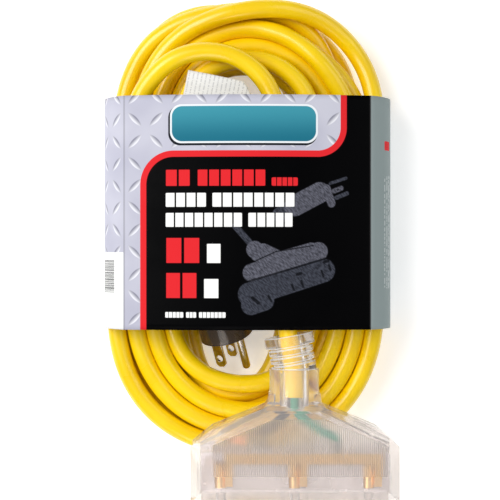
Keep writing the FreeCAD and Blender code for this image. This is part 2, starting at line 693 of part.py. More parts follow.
LEAF_INSIDE = "(blade_thickness / 2 + contact_gap)"
LEAF_OUTSIDE = f"({LEAF_INSIDE} + contact_leaf)"
CONTACT_START = "(face_thickness + contact_setback)"
CONTACT_END = "(strip_setback + strip_width)"
LINE_LOW = f"({BLADE_LEVEL} - contact_height / 2)"
LINE_HIGH = f"({BLADE_LEVEL} + contact_height / 2)"
NEUTRAL_LOW = f"({LINE_LOW} - contact_stagger)"
NEUTRAL_HIGH = f"({LINE_HIGH} - contact_stagger)"
GROUND_UNDER = f"({INSERT_RISE} - ground_strip_thickness - ground_strip_gap)"
GROUND_SLEEVE = "(ground_diameter / 2 + contact_gap)"


def make_blade_contact(label, middle, low, high):
    """A folded leaf pair that grips a blade, closed at its back end."""
    body = new_body(label)
    shape = polygon([
        (f"{middle} - {LEAF_OUTSIDE}", CONTACT_START),
        (f"{middle} - {LEAF_INSIDE}", CONTACT_START),
        (f"{middle} - {LEAF_INSIDE}", f"{CONTACT_END} - contact_leaf"),
        (f"{middle} + {LEAF_INSIDE}", f"{CONTACT_END} - contact_leaf"),
        (f"{middle} + {LEAF_INSIDE}", CONTACT_START),
        (f"{middle} + {LEAF_OUTSIDE}", CONTACT_START),
        (f"{middle} + {LEAF_OUTSIDE}", CONTACT_END),
        (f"{middle} - {LEAF_OUTSIDE}", CONTACT_END)])
    prism(body, "Leaves", "XY_Plane", low, high, [shape])
    in_tap(body)


def make_ground_contact(label, middle):
    """A split sleeve round the ground pin, with a foot up to the ground strip's leg."""
    body = new_body(label)
    end = "(ground_strip_setback - sleeve_back_gap)"
    outer = f"({GROUND_SLEEVE} + contact_leaf)"
    prism(body, "Sleeve", "XZ_Plane", CONTACT_START, end,
          [circle(middle, "outlet_ground_rise", outer)])
    foot = rectangle(
        f"{middle} + {GROUND_SLEEVE}", "outlet_ground_rise",
        f"{middle} + ground_leg_offset + foot_overlap", GROUND_UNDER)
    prism(body, "Foot", "XZ_Plane", f"{CONTACT_START} + foot_inset", f"{end} - foot_back_inset", [foot])
    prism(body, "Bore", "XZ_Plane", f"{CONTACT_START} - cut_past", f"{end} + cut_past",
          [circle(middle, "outlet_ground_rise", GROUND_SLEEVE)], cut=True)
    split = rectangle(
        f"{middle} - split_half", f"outlet_ground_rise - {outer} - cut_past",
        f"{middle} + split_half", "outlet_ground_rise - cut_past")
    prism(body, "Split", "XZ_Plane", f"{CONTACT_START} - cut_past", f"{end} + cut_past", [split],
          cut=True)
    in_tap(body)


def make_contacts():
    for i in range(3):
        make_blade_contact(f"line_contact_{i + 1}", f"({outlet_at(i)} - blade_spacing / 2)",
                           LINE_LOW, LINE_HIGH)
        make_blade_contact(f"neutral_contact_{i + 1}", f"({outlet_at(i)} + blade_spacing / 2)",
                           NEUTRAL_LOW, NEUTRAL_HIGH)
        make_ground_contact(f"ground_contact_{i + 1}", outlet_at(i))


def make_strips():
    """The three strips that join the outlets' contacts."""
    for label, side, low in (
            ("line_bus", -1, LINE_HIGH),
            ("neutral_bus", 1, f"({NEUTRAL_LOW} - strip_thickness)")):
        body = new_body(label)
        first = f"({outlet_at(0)} + {side} * blade_spacing / 2 - {LEAF_OUTSIDE})"
        last = f"({outlet_at(2)} + {side} * blade_spacing / 2 + {LEAF_OUTSIDE})"
        strip = rectangle(first, "strip_setback", last, CONTACT_END)
        prism(body, "Strip", "XY_Plane", low, f"{low} + strip_thickness", [strip])
        in_tap(body)
    body = new_body("ground_bus")
    half = "ground_leg_width / 2"
    back = "ground_strip_setback + ground_strip_width"
    strip = rectangle(
        f"{outlet_at(0)} + ground_leg_offset - {half}", "ground_strip_setback",
        f"{outlet_at(2)} + ground_leg_offset + {half}", back)
    high = f"{GROUND_UNDER} + ground_strip_thickness"
    prism(body, "Strip", "XY_Plane", GROUND_UNDER, high, [strip])
    leg = rectangle(
        f"{outlet_at(0)} + ground_leg_offset - {half}", "ground_leg_end",
        f"{outlet_at(0)} + ground_leg_offset + {half}", "ground_strip_setback")
    legs = prism(body, "Leg", "XY_Plane", GROUND_UNDER, high, [leg])
    row_of(body, "Legs", legs, "outlet_pitch", 3)
    in_tap(body)


def make_carrier():
    """The moulded carrier with pockets for the contacts and slots for the strips."""
    body = new_body("tap_contact_carrier")
    front = "(face_thickness + moulding_clearance)"
    block = rectangle(f"-{INSERT_HALF}", f"-{INSERT_RISE}", INSERT_HALF, INSERT_RISE)
    prism(body, "Block", "XZ_Plane", front, CARRIER_BACK, [block])
    pockets = []
    for side in (-1, 1):
        middle = f"({outlet_at(0)} + {side} * blade_spacing / 2)"
        half = f"({LEAF_OUTSIDE} + moulding_clearance)"
        pockets.append(rectangle(
            f"{middle} - {half}", f"{BLADE_LEVEL} - blade_width / 2 - slot_gap",
            f"{middle} + {half}", f"{BLADE_LEVEL} + blade_width / 2 + slot_gap"))
    blades = prism(body, "BladePockets", "XZ_Plane", f"{front} - cut_past",
                   f"{CONTACT_END} + moulding_clearance", pockets, cut=True)
    row_of(body, "BladePocketRow", blades, "outlet_pitch", 3)
    sleeve = f"({GROUND_SLEEVE} + contact_leaf + moulding_clearance)"
    pocket = rectangle(
        f"{outlet_at(0)} - {sleeve}", f"outlet_ground_rise - {sleeve}",
        f"{outlet_at(0)} + ground_leg_offset + foot_overlap + moulding_clearance", GROUND_UNDER)
    ground = prism(body, "GroundPocket", "XZ_Plane", f"{front} - cut_past",
                   "ground_strip_setback + ground_pocket_depth", [pocket], cut=True)
    row_of(body, "GroundPocketRow", ground, "outlet_pitch", 3)
    for name, low in (("LineSlot", LINE_HIGH),
                      ("NeutralSlot", f"({NEUTRAL_LOW} - strip_thickness)")):
        slot = rectangle(
            f"-{INSERT_HALF} + slot_end_wall", f"{low} - moulding_clearance",
            f"{INSERT_HALF} - slot_end_wall", f"{low} + 2 * strip_thickness + moulding_clearance")
        prism(body, name, "XZ_Plane", "strip_setback - moulding_clearance",
              f"{CARRIER_BACK} + cut_past", [slot], cut=True)
    recess = rectangle(
        f"-{INSERT_HALF} + slot_end_wall", f"{GROUND_UNDER}",
        f"{INSERT_HALF} - slot_end_wall", f"{INSERT_RISE} + cut_past")
    prism(body, "GroundRecess", "XZ_Plane", "ground_leg_end - cut_past", f"{CARRIER_BACK} + cut_past",
          [recess], cut=True)
    channel = rectangle(
        f"{WIRE_X['ground']} - channel_half", f"{GROUND_UNDER} - channel_depth",
        f"{WIRE_X['ground']} + channel_half", f"{GROUND_UNDER}")
    prism(body, "GroundChannel", "XZ_Plane", "ground_strip_setback", f"{CARRIER_BACK} + cut_past",
          [channel], cut=True)
    in_tap(body)


WIRE_X = {"ground": "22.5", "line": "-19", "neutral": "13"}
BARREL = "(wire_diameter / 2 + terminal_clearance + terminal_wall)"
BARREL_START = f"({CARRIER_BACK} + barrel_gap)"


def terminal_level(kind):
    """Height of a terminal's tongue, on its strip, and of its barrel's axis."""
    if kind == "ground":
        return f"({GROUND_UNDER} - strip_thickness)", f"({GROUND_UNDER} - barrel_drop)"
    if kind == "line":
        return f"({LINE_HIGH} + strip_thickness)", f"({LINE_HIGH} + barrel_lift)"
    return f"({NEUTRAL_LOW})", f"({NEUTRAL_LOW} + barrel_lift)"


def make_terminals():
    """A crimped barrel for each conductor, with a tongue on its strip."""
    for kind in ("ground", "line", "neutral"):
        body = new_body(f"{kind}_terminal")
        x = WIRE_X[kind]
        tongue_low, axis = terminal_level(kind)
        prism(body, "Barrel", "XZ_Plane", BARREL_START, f"{BARREL_START} + terminal_length",
              [circle(x, axis, BARREL)])
        tongue = rectangle(f"{x} - tongue_half", tongue_low, f"{x} + tongue_half",
                           f"{tongue_low} + strip_thickness")
        start = "ground_strip_setback + ground_tongue_inset"
        if kind != "ground":
            start = "strip_setback + tongue_inset"
        prism(body, "Tongue", "XZ_Plane", start, f"{BARREL_START} + tongue_overlap", [tongue])
        prism(body, "WireHole", "XZ_Plane", f"{BARREL_START} + barrel_wall_end",
              f"{BARREL_START} + terminal_length + cut_past",
              [circle(x, axis, "wire_diameter / 2 + terminal_clearance")], cut=True)
        in_tap(body)


def tap_point(x, y, z):
    """A point of the outlet block's own frame."""
    return (value(x), value(y), value(z))


def make_tap_wires():
    """The three conductors, fanned out from the jacket's end to their terminals."""
    spread = "(wire_diameter / 1.7)"
    starts = {
        "green": ("ground", "0", spread),
        "black": ("line", f"-{spread} * 0.87", f"-{spread} / 2"),
        "white": ("neutral", f"{spread} * 0.87", f"-{spread} / 2")}
    for colour, (kind, x, z) in starts.items():
        level = terminal_level(kind)[1]
        goal = WIRE_X[kind]
        jacket = f"{NECK_START} + jacket_inset"
        end = f"{BARREL_START} + wire_seat"
        middle_x = f"({x}) * 0.3 + ({goal}) * 0.7"
        route = [
            tap_point(x, jacket, z),
            tap_point(x, f"{jacket} - wire_lead_in", z),
            tap_point(middle_x, f"({jacket}) * 0.3 + ({end}) * 0.7", f"({z}) * 0.4 + {level} * 0.6"),
            tap_point(goal, f"{end} + wire_run_out", level),
            tap_point(goal, end, level)]
        wire = tube(f"tap_{colour}_wire", route, value("wire_diameter"))
        in_tap(wire)


def make_lamp(label, place, turn):
    """A small capsule lamp: a round-nosed cylinder."""
    body = new_body(f"{label}_lamp")
    revolve(body, "Glass", [
        ("0", "0"),
        ("lamp_radius", "0"),
        ("lamp_radius", "lamp_length - lamp_radius"),
        ("lamp_radius * 0.5", "lamp_length"),
        ("0", "lamp_length")])
    body.Placement = FreeCAD.Placement(place, turn)
    body = new_body(f"{label}_lamp_resistor")
    revolve(body, "Barrel", [
        ("0", "0"),
        ("resistor_radius", "0"),
        ("resistor_radius", "resistor_length"),
        ("0", "resistor_length")])
    step = FreeCAD.Vector(0, value("lamp_length + lamp_gap"), 0)
    body.Placement = FreeCAD.Placement(place + turn.multVec(step), turn)


def make_lamps():
    across = FreeCAD.Rotation(FreeCAD.Vector(0, 0, 1), 90)
    spot = FreeCAD.Vector(
        value("tap_centre - lamp_across"),
        value(f"{BARREL_START} + lamp_back - tap_end"),
        value("tap_rise + lamp_lift"))
    make_lamp("tap", spot, across)
    axis = plug_turn().multVec(FreeCAD.Vector(0, value("plug_bridge_length + plug_lamp_gap"), 0))
    origin = FreeCAD.Vector(value("plug_x"), value("plug_y"), value("plug_z"))
    make_lamp("plug", origin + axis, plug_turn())


# ---------------------------------------------------------------- the plug

PLUG_BLADES = "(-plug_blade_drop)"
PLUG_GROUND = "(ground_offset - plug_blade_drop)"


def make_plug_body():
    """The moulded grip: a hollow turned shell that narrows to the cord."""
    body = new_body("plug_body")
    cavity = "(plug_bridge_radius + moulding_clearance / 2)"
    revolve(body, "Grip", [
        (cavity, "0"),
        ("plug_radius", "0"),
        ("plug_radius", "plug_grip_length"),
        ("plug_tail_radius", "plug_length"),
        (CORD_BORE, "plug_length"),
        (CORD_BORE, "plug_length - plug_jacket_inset"),
        (cavity, "plug_chamber_length")])
    in_plug(body)


def make_plug_bridge():
    """The rigid disc that holds the prongs in place."""
    body = new_body("plug_bridge")
    prism(body, "Disc", "XZ_Plane", "0", "plug_bridge_length",
          [circle("0", "0", "plug_bridge_radius")])
    holes = [circle("0", PLUG_GROUND, "ground_diameter / 2")]
    for side in (-1, 1):
        middle = f"({side} * blade_spacing / 2)"
        holes.append(rectangle(
            f"{middle} - blade_thickness / 2", f"{PLUG_BLADES} - blade_width / 2",
            f"{middle} + blade_thickness / 2", f"{PLUG_BLADES} + blade_width / 2"))
    prism(body, "Slots", "XZ_Plane", "-cut_past", "plug_bridge_length + cut_past", holes, cut=True)
    in_plug(body)


def add_crimp(body, x, z):
    """The barrel at the back of a prong, bored for its conductor."""
    start = "plug_bridge_length"
    prism(body, "Barrel", "XZ_Plane", start, f"{start} + terminal_length", [circle(x, z, BARREL)])
    prism(body, "WireHole", "XZ_Plane", f"{start} + barrel_wall_end",
          f"{start} + terminal_length + cut_past",
          [circle(x, z, "wire_diameter / 2 + terminal_clearance")], cut=True)


def make_blade(label, side):
    """A flat blade with a hole near its tip."""
    body = new_body(label)
    middle = f"({side} * blade_spacing / 2)"
    half = "blade_width / 2"
    taper = "blade_width / 4"
    blade = polygon([
        ("plug_bridge_length", f"{PLUG_BLADES} - {half}"),
        ("plug_bridge_length", f"{PLUG_BLADES} + {half}"),
        (f"{taper} - blade_length", f"{PLUG_BLADES} + {half}"),
        ("-blade_length", f"{PLUG_BLADES} + {taper}"),
        ("-blade_length", f"{PLUG_BLADES} - {taper}"),
        (f"{taper} - blade_length", f"{PLUG_BLADES} - {half}")])
    prism(body, "Blade", "YZ_Plane", f"{middle} - blade_thickness / 2",
          f"{middle} + blade_thickness / 2", [blade])
    prism(body, "Hole", "YZ_Plane", f"{middle} - blade_thickness", f"{middle} + blade_thickness",
          [circle("blade_hole_setback - blade_length", PLUG_BLADES, "blade_hole / 2")], cut=True)
    add_crimp(body, middle, PLUG_BLADES)
    in_plug(body)


def make_ground_pin():
    """The round ground pin with a rounded tip."""
    body = new_body("ground_pin")
    prism(body, "Pin", "XZ_Plane", "-ground_length", "plug_bridge_length",
          [circle("0", PLUG_GROUND, "ground_diameter / 2")])
    tip = value("-ground_length")
    fillet(body, "Tip", "ground_diameter / 2 - pin_tip_flat",
           lambda edge: abs(edge.BoundBox.Center.y - tip) < 1e-4)
    add_crimp(body, "0", PLUG_GROUND)
    in_plug(body)


def make_plug_relief():
    """The plug's ribbed, tapering strain relief."""
    body = new_body("plug_strain_relief")
    outline = [(CORD_BORE, "0")]
    ribs = 4
    for i in range(ribs):
        start = f"plug_relief_length * {i} / {ribs}"
        end = f"plug_relief_length * {i + 1} / {ribs}"
        rim = f"plug_tail_radius + (plug_relief_tip - plug_tail_radius) * {i} / {ribs - 1}"
        outline.append((rim, start))
        if i == ribs - 1:
            outline.append((rim, end))
            continue
        outline.append((rim, f"{end} - plug_rib_gap"))
        outline.append((f"{rim} - plug_rib_depth", f"{end} - plug_rib_gap"))
        outline.append((f"{rim} - plug_rib_depth", end))
    outline.append((CORD_BORE, "plug_relief_length"))
    revolve(body, "Ribs", outline)
    tail = plug_turn().multVec(FreeCAD.Vector(0, value("plug_length"), 0))
    spot = FreeCAD.Vector(value("plug_x"), value("plug_y"), value("plug_z"))
    body.Placement = FreeCAD.Placement(spot + tail, plug_turn())


def make_plug_wires():
    """The conductors from the jacket's end to the prongs' barrels."""
    spread = "(wire_diameter / 1.7)"
    goals = {
        "green": ("0", PLUG_GROUND, "0", spread),
        "black": ("-blade_spacing / 2", PLUG_BLADES, f"-{spread} * 0.87", f"-{spread} / 2"),
        "white": ("blade_spacing / 2", PLUG_BLADES, f"{spread} * 0.87", f"-{spread} / 2")}
    start = "plug_bridge_length + wire_seat"
    end = "plug_length - plug_jacket_inset"
    for colour, (x, z, in_x, in_z) in goals.items():
        route = [
            tap_point(x, start, z),
            tap_point(x, f"{start} + plug_wire_straight", z),
            tap_point(in_x, f"{end} - plug_wire_gather", in_z),
            tap_point(in_x, end, in_z)]
        wire = tube(f"plug_{colour}_wire", route, value("wire_diameter"))
        in_plug(wire)


# ---------------------------------------------------------------- the whole cord

def parts():
    """Every sub-part: a body, or a feature that stands on its own."""
    return [item for item in doc.Objects
            if item.isDerivedFrom("PartDesign::Body") or item.TypeId == "Part::Feature"]


def check():
    """Stop if anything failed to build or gave a shape that isn't valid."""
    for item in doc.Objects:
        if "Invalid" in item.State or "Error" in item.State:
            raise RuntimeError(f"{item.Name} of {item.Label} failed: {item.State}")
    for item in parts():
        if item.Shape.isNull() or not item.Shape.isValid() or not item.Shape.Solids:
            raise RuntimeError(f"{item.Label} has no valid solid")


make_sleeve()
make_coil()
make_leads()
make_tag()
make_housing()
make_relief()
make_face()
make_contacts()
make_strips()
make_carrier()
make_terminals()
make_tap_wires()
make_lamps()
make_plug_body()
make_plug_bridge()
make_blade("line_blade", -1)
make_blade("neutral_blade", 1)
make_ground_pin()
make_plug_relief()
make_plug_wires()
doc.recompute()
check()
os.makedirs("parts", exist_ok=True)
for item in parts():
    item.Shape.exportStep(f"parts/{item.Label}.step")
    box = item.Shape.BoundBox
    print(item.Label, "solids", len(item.Shape.Solids),
          "x", round(box.XMin, 1), round(box.XMax, 1),
          "y", round(box.YMin, 1), round(box.YMax, 1),
          "z", round(box.ZMin, 1), round(box.ZMax, 1))
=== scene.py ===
import math

import bmesh
import bpy
import numpy as np
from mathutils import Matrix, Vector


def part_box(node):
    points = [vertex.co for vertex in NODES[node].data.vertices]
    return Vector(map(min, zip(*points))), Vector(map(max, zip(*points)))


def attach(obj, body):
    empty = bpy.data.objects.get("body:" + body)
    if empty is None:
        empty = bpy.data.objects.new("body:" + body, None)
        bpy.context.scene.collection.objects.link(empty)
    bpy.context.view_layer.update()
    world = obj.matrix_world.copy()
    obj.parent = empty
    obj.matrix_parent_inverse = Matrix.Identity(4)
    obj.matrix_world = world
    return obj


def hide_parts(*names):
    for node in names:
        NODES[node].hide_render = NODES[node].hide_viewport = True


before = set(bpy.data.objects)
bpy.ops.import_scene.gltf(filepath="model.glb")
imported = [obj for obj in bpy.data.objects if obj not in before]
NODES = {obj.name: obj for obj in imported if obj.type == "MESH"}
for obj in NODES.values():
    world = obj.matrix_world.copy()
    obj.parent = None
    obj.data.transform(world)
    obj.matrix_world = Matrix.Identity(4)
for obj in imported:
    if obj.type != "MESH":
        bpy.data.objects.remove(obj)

bl_info = {
    "name": "Extension cord with a three-way outlet block",
    "version": (1, 0, 0),
    "blender": (4, 5, 0),
    "location": "3D View > Sidebar > Extension Cord",
    "description": "Builds a hank of yellow extension cord in its printed card sleeve",
    "category": "Add Mesh",
}

for spare in ("Cube", "Light", "Camera"):
    if spare in bpy.data.objects:
        bpy.data.objects.remove(bpy.data.objects[spare])
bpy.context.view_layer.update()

# ---------------------------------------------------------------- sizes, in metres

MM = 0.001

# The cord: its radius, its stated length, the length laid here and the step between laid points.
CORD_RADIUS = 5.15 * MM
CORD_LENGTH = 7.62
LAID_LENGTH = 6.99
STEP = 7 * MM

# The block's lead: the jacket's end inside it, its neck, its relief's tip, and the route on to the hank.
JACKET_END = (0.0255, -0.1001, 0.048)
NECK_END = (0.0255, -0.0848, 0.048)
RELIEF_TIP = (0.0212, -0.0607, 0.048)
TAP_ROUTE = [
    (0.0174, -0.0360, 0.0478), (0.0166, 0.0000, 0.0476), (0.0160, 0.0340, 0.0475),
    (0.0160, 0.0657, 0.0475), (-0.0063, 0.0880, 0.0475), (-0.0377, 0.0880, 0.0470),
    (-0.0600, 0.0657, 0.0446), (-0.0645, 0.0400, 0.0410), (-0.0690, 0.0140, 0.0355),
    (-0.0725, -0.0110, 0.0290)]
# The plug's lead, from its relief on to the hank's last turn.
PLUG_ROUTE = [
    (-0.0350, 0.0240, 0.0468), (-0.0355, 0.0490, 0.0406), (-0.0310, 0.0715, 0.0382),
    (-0.0135, 0.0850, 0.0366), (0.0155, 0.0850, 0.0364), (0.0360, 0.0645, 0.0364),
    (0.0335, 0.0380, 0.0332), (0.0290, 0.0140, 0.0275)]

# The plug: the middle of its face, how it is turned and tipped, and the way its lead leaves.
PLUG_FACE = np.array((-0.0117, -0.0680, 0.0170))
PLUG_YAW = math.radians(14)
PLUG_PITCH = math.radians(20)
PLUG_AXIS = np.array((
    -math.sin(PLUG_YAW) * math.cos(PLUG_PITCH),
    math.cos(PLUG_YAW) * math.cos(PLUG_PITCH),
    math.sin(PLUG_PITCH)))
PLUG_JACKET_END = tuple(PLUG_FACE + PLUG_AXIS * 0.030)
PLUG_RELIEF_TIP = tuple(PLUG_FACE + PLUG_AXIS * 0.064)

# The plug's body, its relief, its prongs and the block's relief as round-ended rods: ends and radius.
AIR = 0.3 * MM
ROUND_PARTS = (
    (PLUG_FACE + PLUG_AXIS * 0.010, PLUG_FACE + PLUG_AXIS * 0.030, 0.0150 + AIR),
    (PLUG_FACE + PLUG_AXIS * 0.030, PLUG_FACE + PLUG_AXIS * 0.062, 0.0105),
    (PLUG_FACE, PLUG_FACE - PLUG_AXIS * 0.020, 0.0125),
    (np.array(NECK_END), np.array(NECK_END) + (np.array(RELIEF_TIP) - NECK_END) * 0.75, 0.0135 + AIR))

# The sleeve: half the width between its creases, its depth there, and how far front and sides swell.
SLEEVE_HALF_WIDTH = 67 * MM
SLEEVE_DEPTH = 50 * MM
SLEEVE_CROWN = 7 * MM
SLEEVE_BULGE = 13 * MM
SLEEVE_HALF_HEIGHT = 63.5 * MM
CARD = 0.6 * MM


def arc_radius(chord, rise):
    """Radius of the arc over a chord that rises by that much at its middle."""
    return (chord ** 2 / 4 + rise ** 2) / (2 * rise)


FRONT_RADIUS = arc_radius(2 * SLEEVE_HALF_WIDTH, SLEEVE_CROWN)
SIDE_RADIUS = arc_radius(SLEEVE_DEPTH, SLEEVE_BULGE)
FRONT_RUN = 2 * FRONT_RADIUS * math.asin(SLEEVE_HALF_WIDTH / FRONT_RADIUS)
SIDE_RUN = 2 * SIDE_RADIUS * math.asin(SLEEVE_DEPTH / 2 / SIDE_RADIUS)


def linear(red, green, blue):
    """A colour given as 0 to 255 display values, as the linear values that shaders take."""
    shown = np.array((red, green, blue)) / 255
    return tuple(np.where(shown <= 0.04045, shown / 12.92, ((shown + 0.055) / 1.055) ** 2.4))


# ---------------------------------------------------------------- shader graphs


class Graph:
    """Adds nodes to one tree, so that a pattern is written as calls in a row."""

    def __init__(self, tree):
        self.tree = tree

    def node(self, kind, **settings):
        """A new node with these settings."""
        made = self.tree.nodes.new(kind)
        for key, setting in settings.items():
            setattr(made, key, setting)
        return made

    def feed(self, socket, source):
        """Links a socket to a source, or gives it a plain value."""
        if isinstance(source, bpy.types.NodeSocket):
            self.tree.links.new(source, socket)
        else:
            socket.default_value = source

    def math(self, operation, *sources, clamp=False):
        """One step of arithmetic."""
        made = self.node("ShaderNodeMath", operation=operation, use_clamp=clamp)
        for socket, source in zip(made.inputs, sources):
            self.feed(socket, source)
        return made.outputs[0]

    def product(self, first, *others):
        """Several values multiplied, from left to right."""
        for other in others:
            first = self.math("MULTIPLY", first, other)
        return first

    def length(self, across, along):
        """The length of a pair of values."""
        squares = self.math("ADD", self.math("POWER", across, 2.0), self.math("POWER", along, 2.0))
        return self.math("SQRT", squares)

    def map(self, source, low, high, to_low=0.0, to_high=1.0, smooth=True):
        """A value carried from one range to another, held at the ends."""
        kind = "SMOOTHSTEP" if smooth else "LINEAR"
        made = self.node("ShaderNodeMapRange", interpolation_type=kind)
        for socket, value in zip(made.inputs, (source, low, high, to_low, to_high)):
            self.feed(socket, value)
        return made.outputs[0]

    def inside(self, distance, edge=0.12):
        """1 where a distance is below zero, 0 above, with a soft edge that wide."""
        return self.map(distance, -edge, edge, 1.0, 0.0)

    def mix(self, factor, first, second):
        """A colour between two, by the Mix node's colour sockets."""
        made = self.node("ShaderNodeMix", data_type="RGBA")
        factor_socket, first_socket, second_socket, result = 0, 6, 7, 2
        self.feed(made.inputs[factor_socket], factor)
        for index, source in ((first_socket, first), (second_socket, second)):
            if not isinstance(source, bpy.types.NodeSocket):
                source = (*source, 1.0) if len(source) == 3 else source
            self.feed(made.inputs[index], source)
        return made.outputs[result]

    def noise(self, vector, scale, detail=2.0):
        """Cloudy noise from 0 to 1."""
        made = self.node("ShaderNodeTexNoise")
        self.feed(made.inputs["Vector"], vector)
        made.inputs["Scale"].default_value = scale
        made.inputs["Detail"].default_value = detail
        return made.outputs["Fac"]

    def place(self):
        """The point on the piece, in metres in the piece's own frame."""
        return self.node("ShaderNodeTexCoord").outputs["Object"]

    def split(self, vector):
        """The three parts of a vector."""
        made = self.node("ShaderNodeSeparateXYZ")
        self.feed(made.inputs[0], vector)
        return made.outputs

    def join(self, *parts):
        """A vector from its parts; the ones left out are zero."""
        made = self.node("ShaderNodeCombineXYZ")
        for socket, part in zip(made.inputs, parts):
            self.feed(socket, part)
        return made.outputs[0]

    def bump(self, height, distance, normal=None):
        """A normal from a height that runs from 0 to 1, that many metres deep."""
        made = self.node("ShaderNodeBump")
        made.inputs["Distance"].default_value = distance
        self.feed(made.inputs["Height"], height)
        if normal is not None:
            self.feed(made.inputs["Normal"], normal)
        return made.outputs["Normal"]

    def use(self, group, **sources):
        """A group placed in this tree, fed by the names of its inputs."""
        made = self.node("ShaderNodeGroup", node_tree=group)
        for key, source in sources.items():
            self.feed(made.inputs[key.replace("_", " ")], source)
        return made.outputs


def new_group(name, inputs, outputs):
    """An empty node group, with its graph, what comes in and the node that takes what goes out."""
    group = bpy.data.node_groups.new(name, "ShaderNodeTree")
    for label, default in inputs:
        socket = group.interface.new_socket(label, in_out="INPUT", socket_type="NodeSocketFloat")
        socket.default_value = default
    for label, kind in outputs:
        group.interface.new_socket(label, in_out="OUTPUT", socket_type=kind)
    graph = Graph(group)
    return group, graph, graph.node("NodeGroupInput").outputs, graph.node("NodeGroupOutput").inputs


def moulded_skin():
    """Group: the faint unevenness of moulded plastic or rubber, and its uneven gloss."""
    group, graph, given, out = new_group(
        "moulded skin",
        [("Grain scale", 900.0), ("Grain depth", 0.00003), ("Least rough", 0.3), ("Most rough", 0.4)],
        [("Roughness", "NodeSocketFloat"), ("Normal", "NodeSocketVector")])
    place = graph.place()
    fine = graph.node("ShaderNodeTexNoise")
    graph.feed(fine.inputs["Vector"], place)
    graph.feed(fine.inputs["Scale"], given["Grain scale"])
    made = graph.node("ShaderNodeBump")
    graph.feed(made.inputs["Height"], fine.outputs["Fac"])
    graph.feed(made.inputs["Distance"], given["Grain depth"])
    smears = graph.map(graph.noise(place, 45.0, 3.0), 0.35, 0.65)
    spread = graph.math("SUBTRACT", given["Most rough"], given["Least rough"])
    rough = graph.math("MULTIPLY_ADD", smears, spread, given["Least rough"])
    graph.feed(out["Roughness"], rough)
    graph.feed(out["Normal"], made.outputs["Normal"])
    return group


def word_bar():
    """Group: a rounded bar between two corners, in the print's millimetres."""
    group, graph, given, out = new_group(
        "word bar",
        [("U", 0.0), ("V", 0.0), ("Left", 0.0), ("Right", 10.0), ("Bottom", 0.0), ("Top", 5.0),
         ("Corner", 0.8)],
        [("Mask", "NodeSocketFloat")])

    def beyond(at, low, high):
        """How far a value is outside a span, less the corner's radius."""
        middle = graph.product(graph.math("ADD", low, high), 0.5)
        half = graph.product(graph.math("SUBTRACT", high, low), 0.5)
        off = graph.math("ABSOLUTE", graph.math("SUBTRACT", at, middle))
        return graph.math("ADD", graph.math("SUBTRACT", off, half), given["Corner"])

    across = beyond(given["U"], given["Left"], given["Right"])
    along = beyond(given["V"], given["Bottom"], given["Top"])
    outer = graph.length(graph.math("MAXIMUM", across, 0.0), graph.math("MAXIMUM", along, 0.0))
    inner = graph.math("MINIMUM", graph.math("MAXIMUM", across, along), 0.0)
    distance = graph.math("SUBTRACT", graph.math("ADD", outer, inner), given["Corner"])
    graph.feed(out["Mask"], graph.inside(distance))
    return group


def broad_stroke():
    """Group: a straight stroke with round ends, in the print's millimetres."""
    group, graph, given, out = new_group(
        "broad stroke",
        [("U", 0.0), ("V", 0.0), ("From U", 0.0), ("From V", 0.0), ("To U", 10.0), ("To V", 0.0),
         ("Half width", 2.0)],
        [("Distance", "NodeSocketFloat")])
    run_u = graph.math("SUBTRACT", given["To U"], given["From U"])
    run_v = graph.math("SUBTRACT", given["To V"], given["From V"])
    off_u = graph.math("SUBTRACT", given["U"], given["From U"])
    off_v = graph.math("SUBTRACT", given["V"], given["From V"])
    dot = graph.math("MULTIPLY_ADD", off_u, run_u, graph.product(off_v, run_v))
    square = graph.math("MULTIPLY_ADD", run_u, run_u, graph.product(run_v, run_v))
    share = graph.math("DIVIDE", dot, square, clamp=True)
    gap_u = graph.math("SUBTRACT", off_u, graph.product(share, run_u))
    gap_v = graph.math("SUBTRACT", off_v, graph.product(share, run_v))
    graph.feed(out["Distance"], graph.math("SUBTRACT", graph.length(gap_u, gap_v), given["Half width"]))
    return group


def tread_plate():
    """Group: raised lens shapes in a checkerboard of cells, alternate ones turned a quarter turn."""
    cell, half_length, half_width = 12.0, 5.4, 1.5
    radius = (half_length ** 2 + half_width ** 2) / (2 * half_width)
    group, graph, given, out = new_group(
        "tread plate", [("U", 0.0), ("V", 0.0)],
        [("Lens", "NodeSocketFloat"), ("Lit side", "NodeSocketFloat")])
    column = graph.math("FLOOR", graph.math("DIVIDE", given["U"], cell))
    row = graph.math("FLOOR", graph.math("DIVIDE", given["V"], cell))
    odd = graph.math("FLOORED_MODULO", graph.math("ADD", column, row), 2.0)
    off_u = graph.math("MULTIPLY_ADD", graph.math("ADD", column, 0.5), -cell, given["U"])
    off_v = graph.math("MULTIPLY_ADD", graph.math("ADD", row, 0.5), -cell, given["V"])
    rising = graph.product(graph.math("ADD", off_u, off_v), math.sqrt(0.5))
    falling = graph.product(graph.math("SUBTRACT", off_v, off_u), math.sqrt(0.5))
    swap = graph.math("SUBTRACT", falling, rising)
    along = graph.math("MULTIPLY_ADD", odd, swap, rising)
    across = graph.math("MULTIPLY_ADD", odd, graph.product(swap, -1.0), falling)
    reach = graph.math("ADD", graph.math("ABSOLUTE", across), radius - half_width)
    distance = graph.math("SUBTRACT", graph.length(along, reach), radius)
    graph.feed(out["Lens"], graph.map(distance, -0.35, 0.2, 1.0, 0.0))
    graph.feed(out["Lit side"], graph.map(across, -half_width, half_width))
    return group


GROUPS = {}


def group_called(maker):
    """The node group that a function makes, made the first time it is asked for."""
    if maker.__name__ not in GROUPS:
        GROUPS[maker.__name__] = maker()
    return GROUPS[maker.__name__]


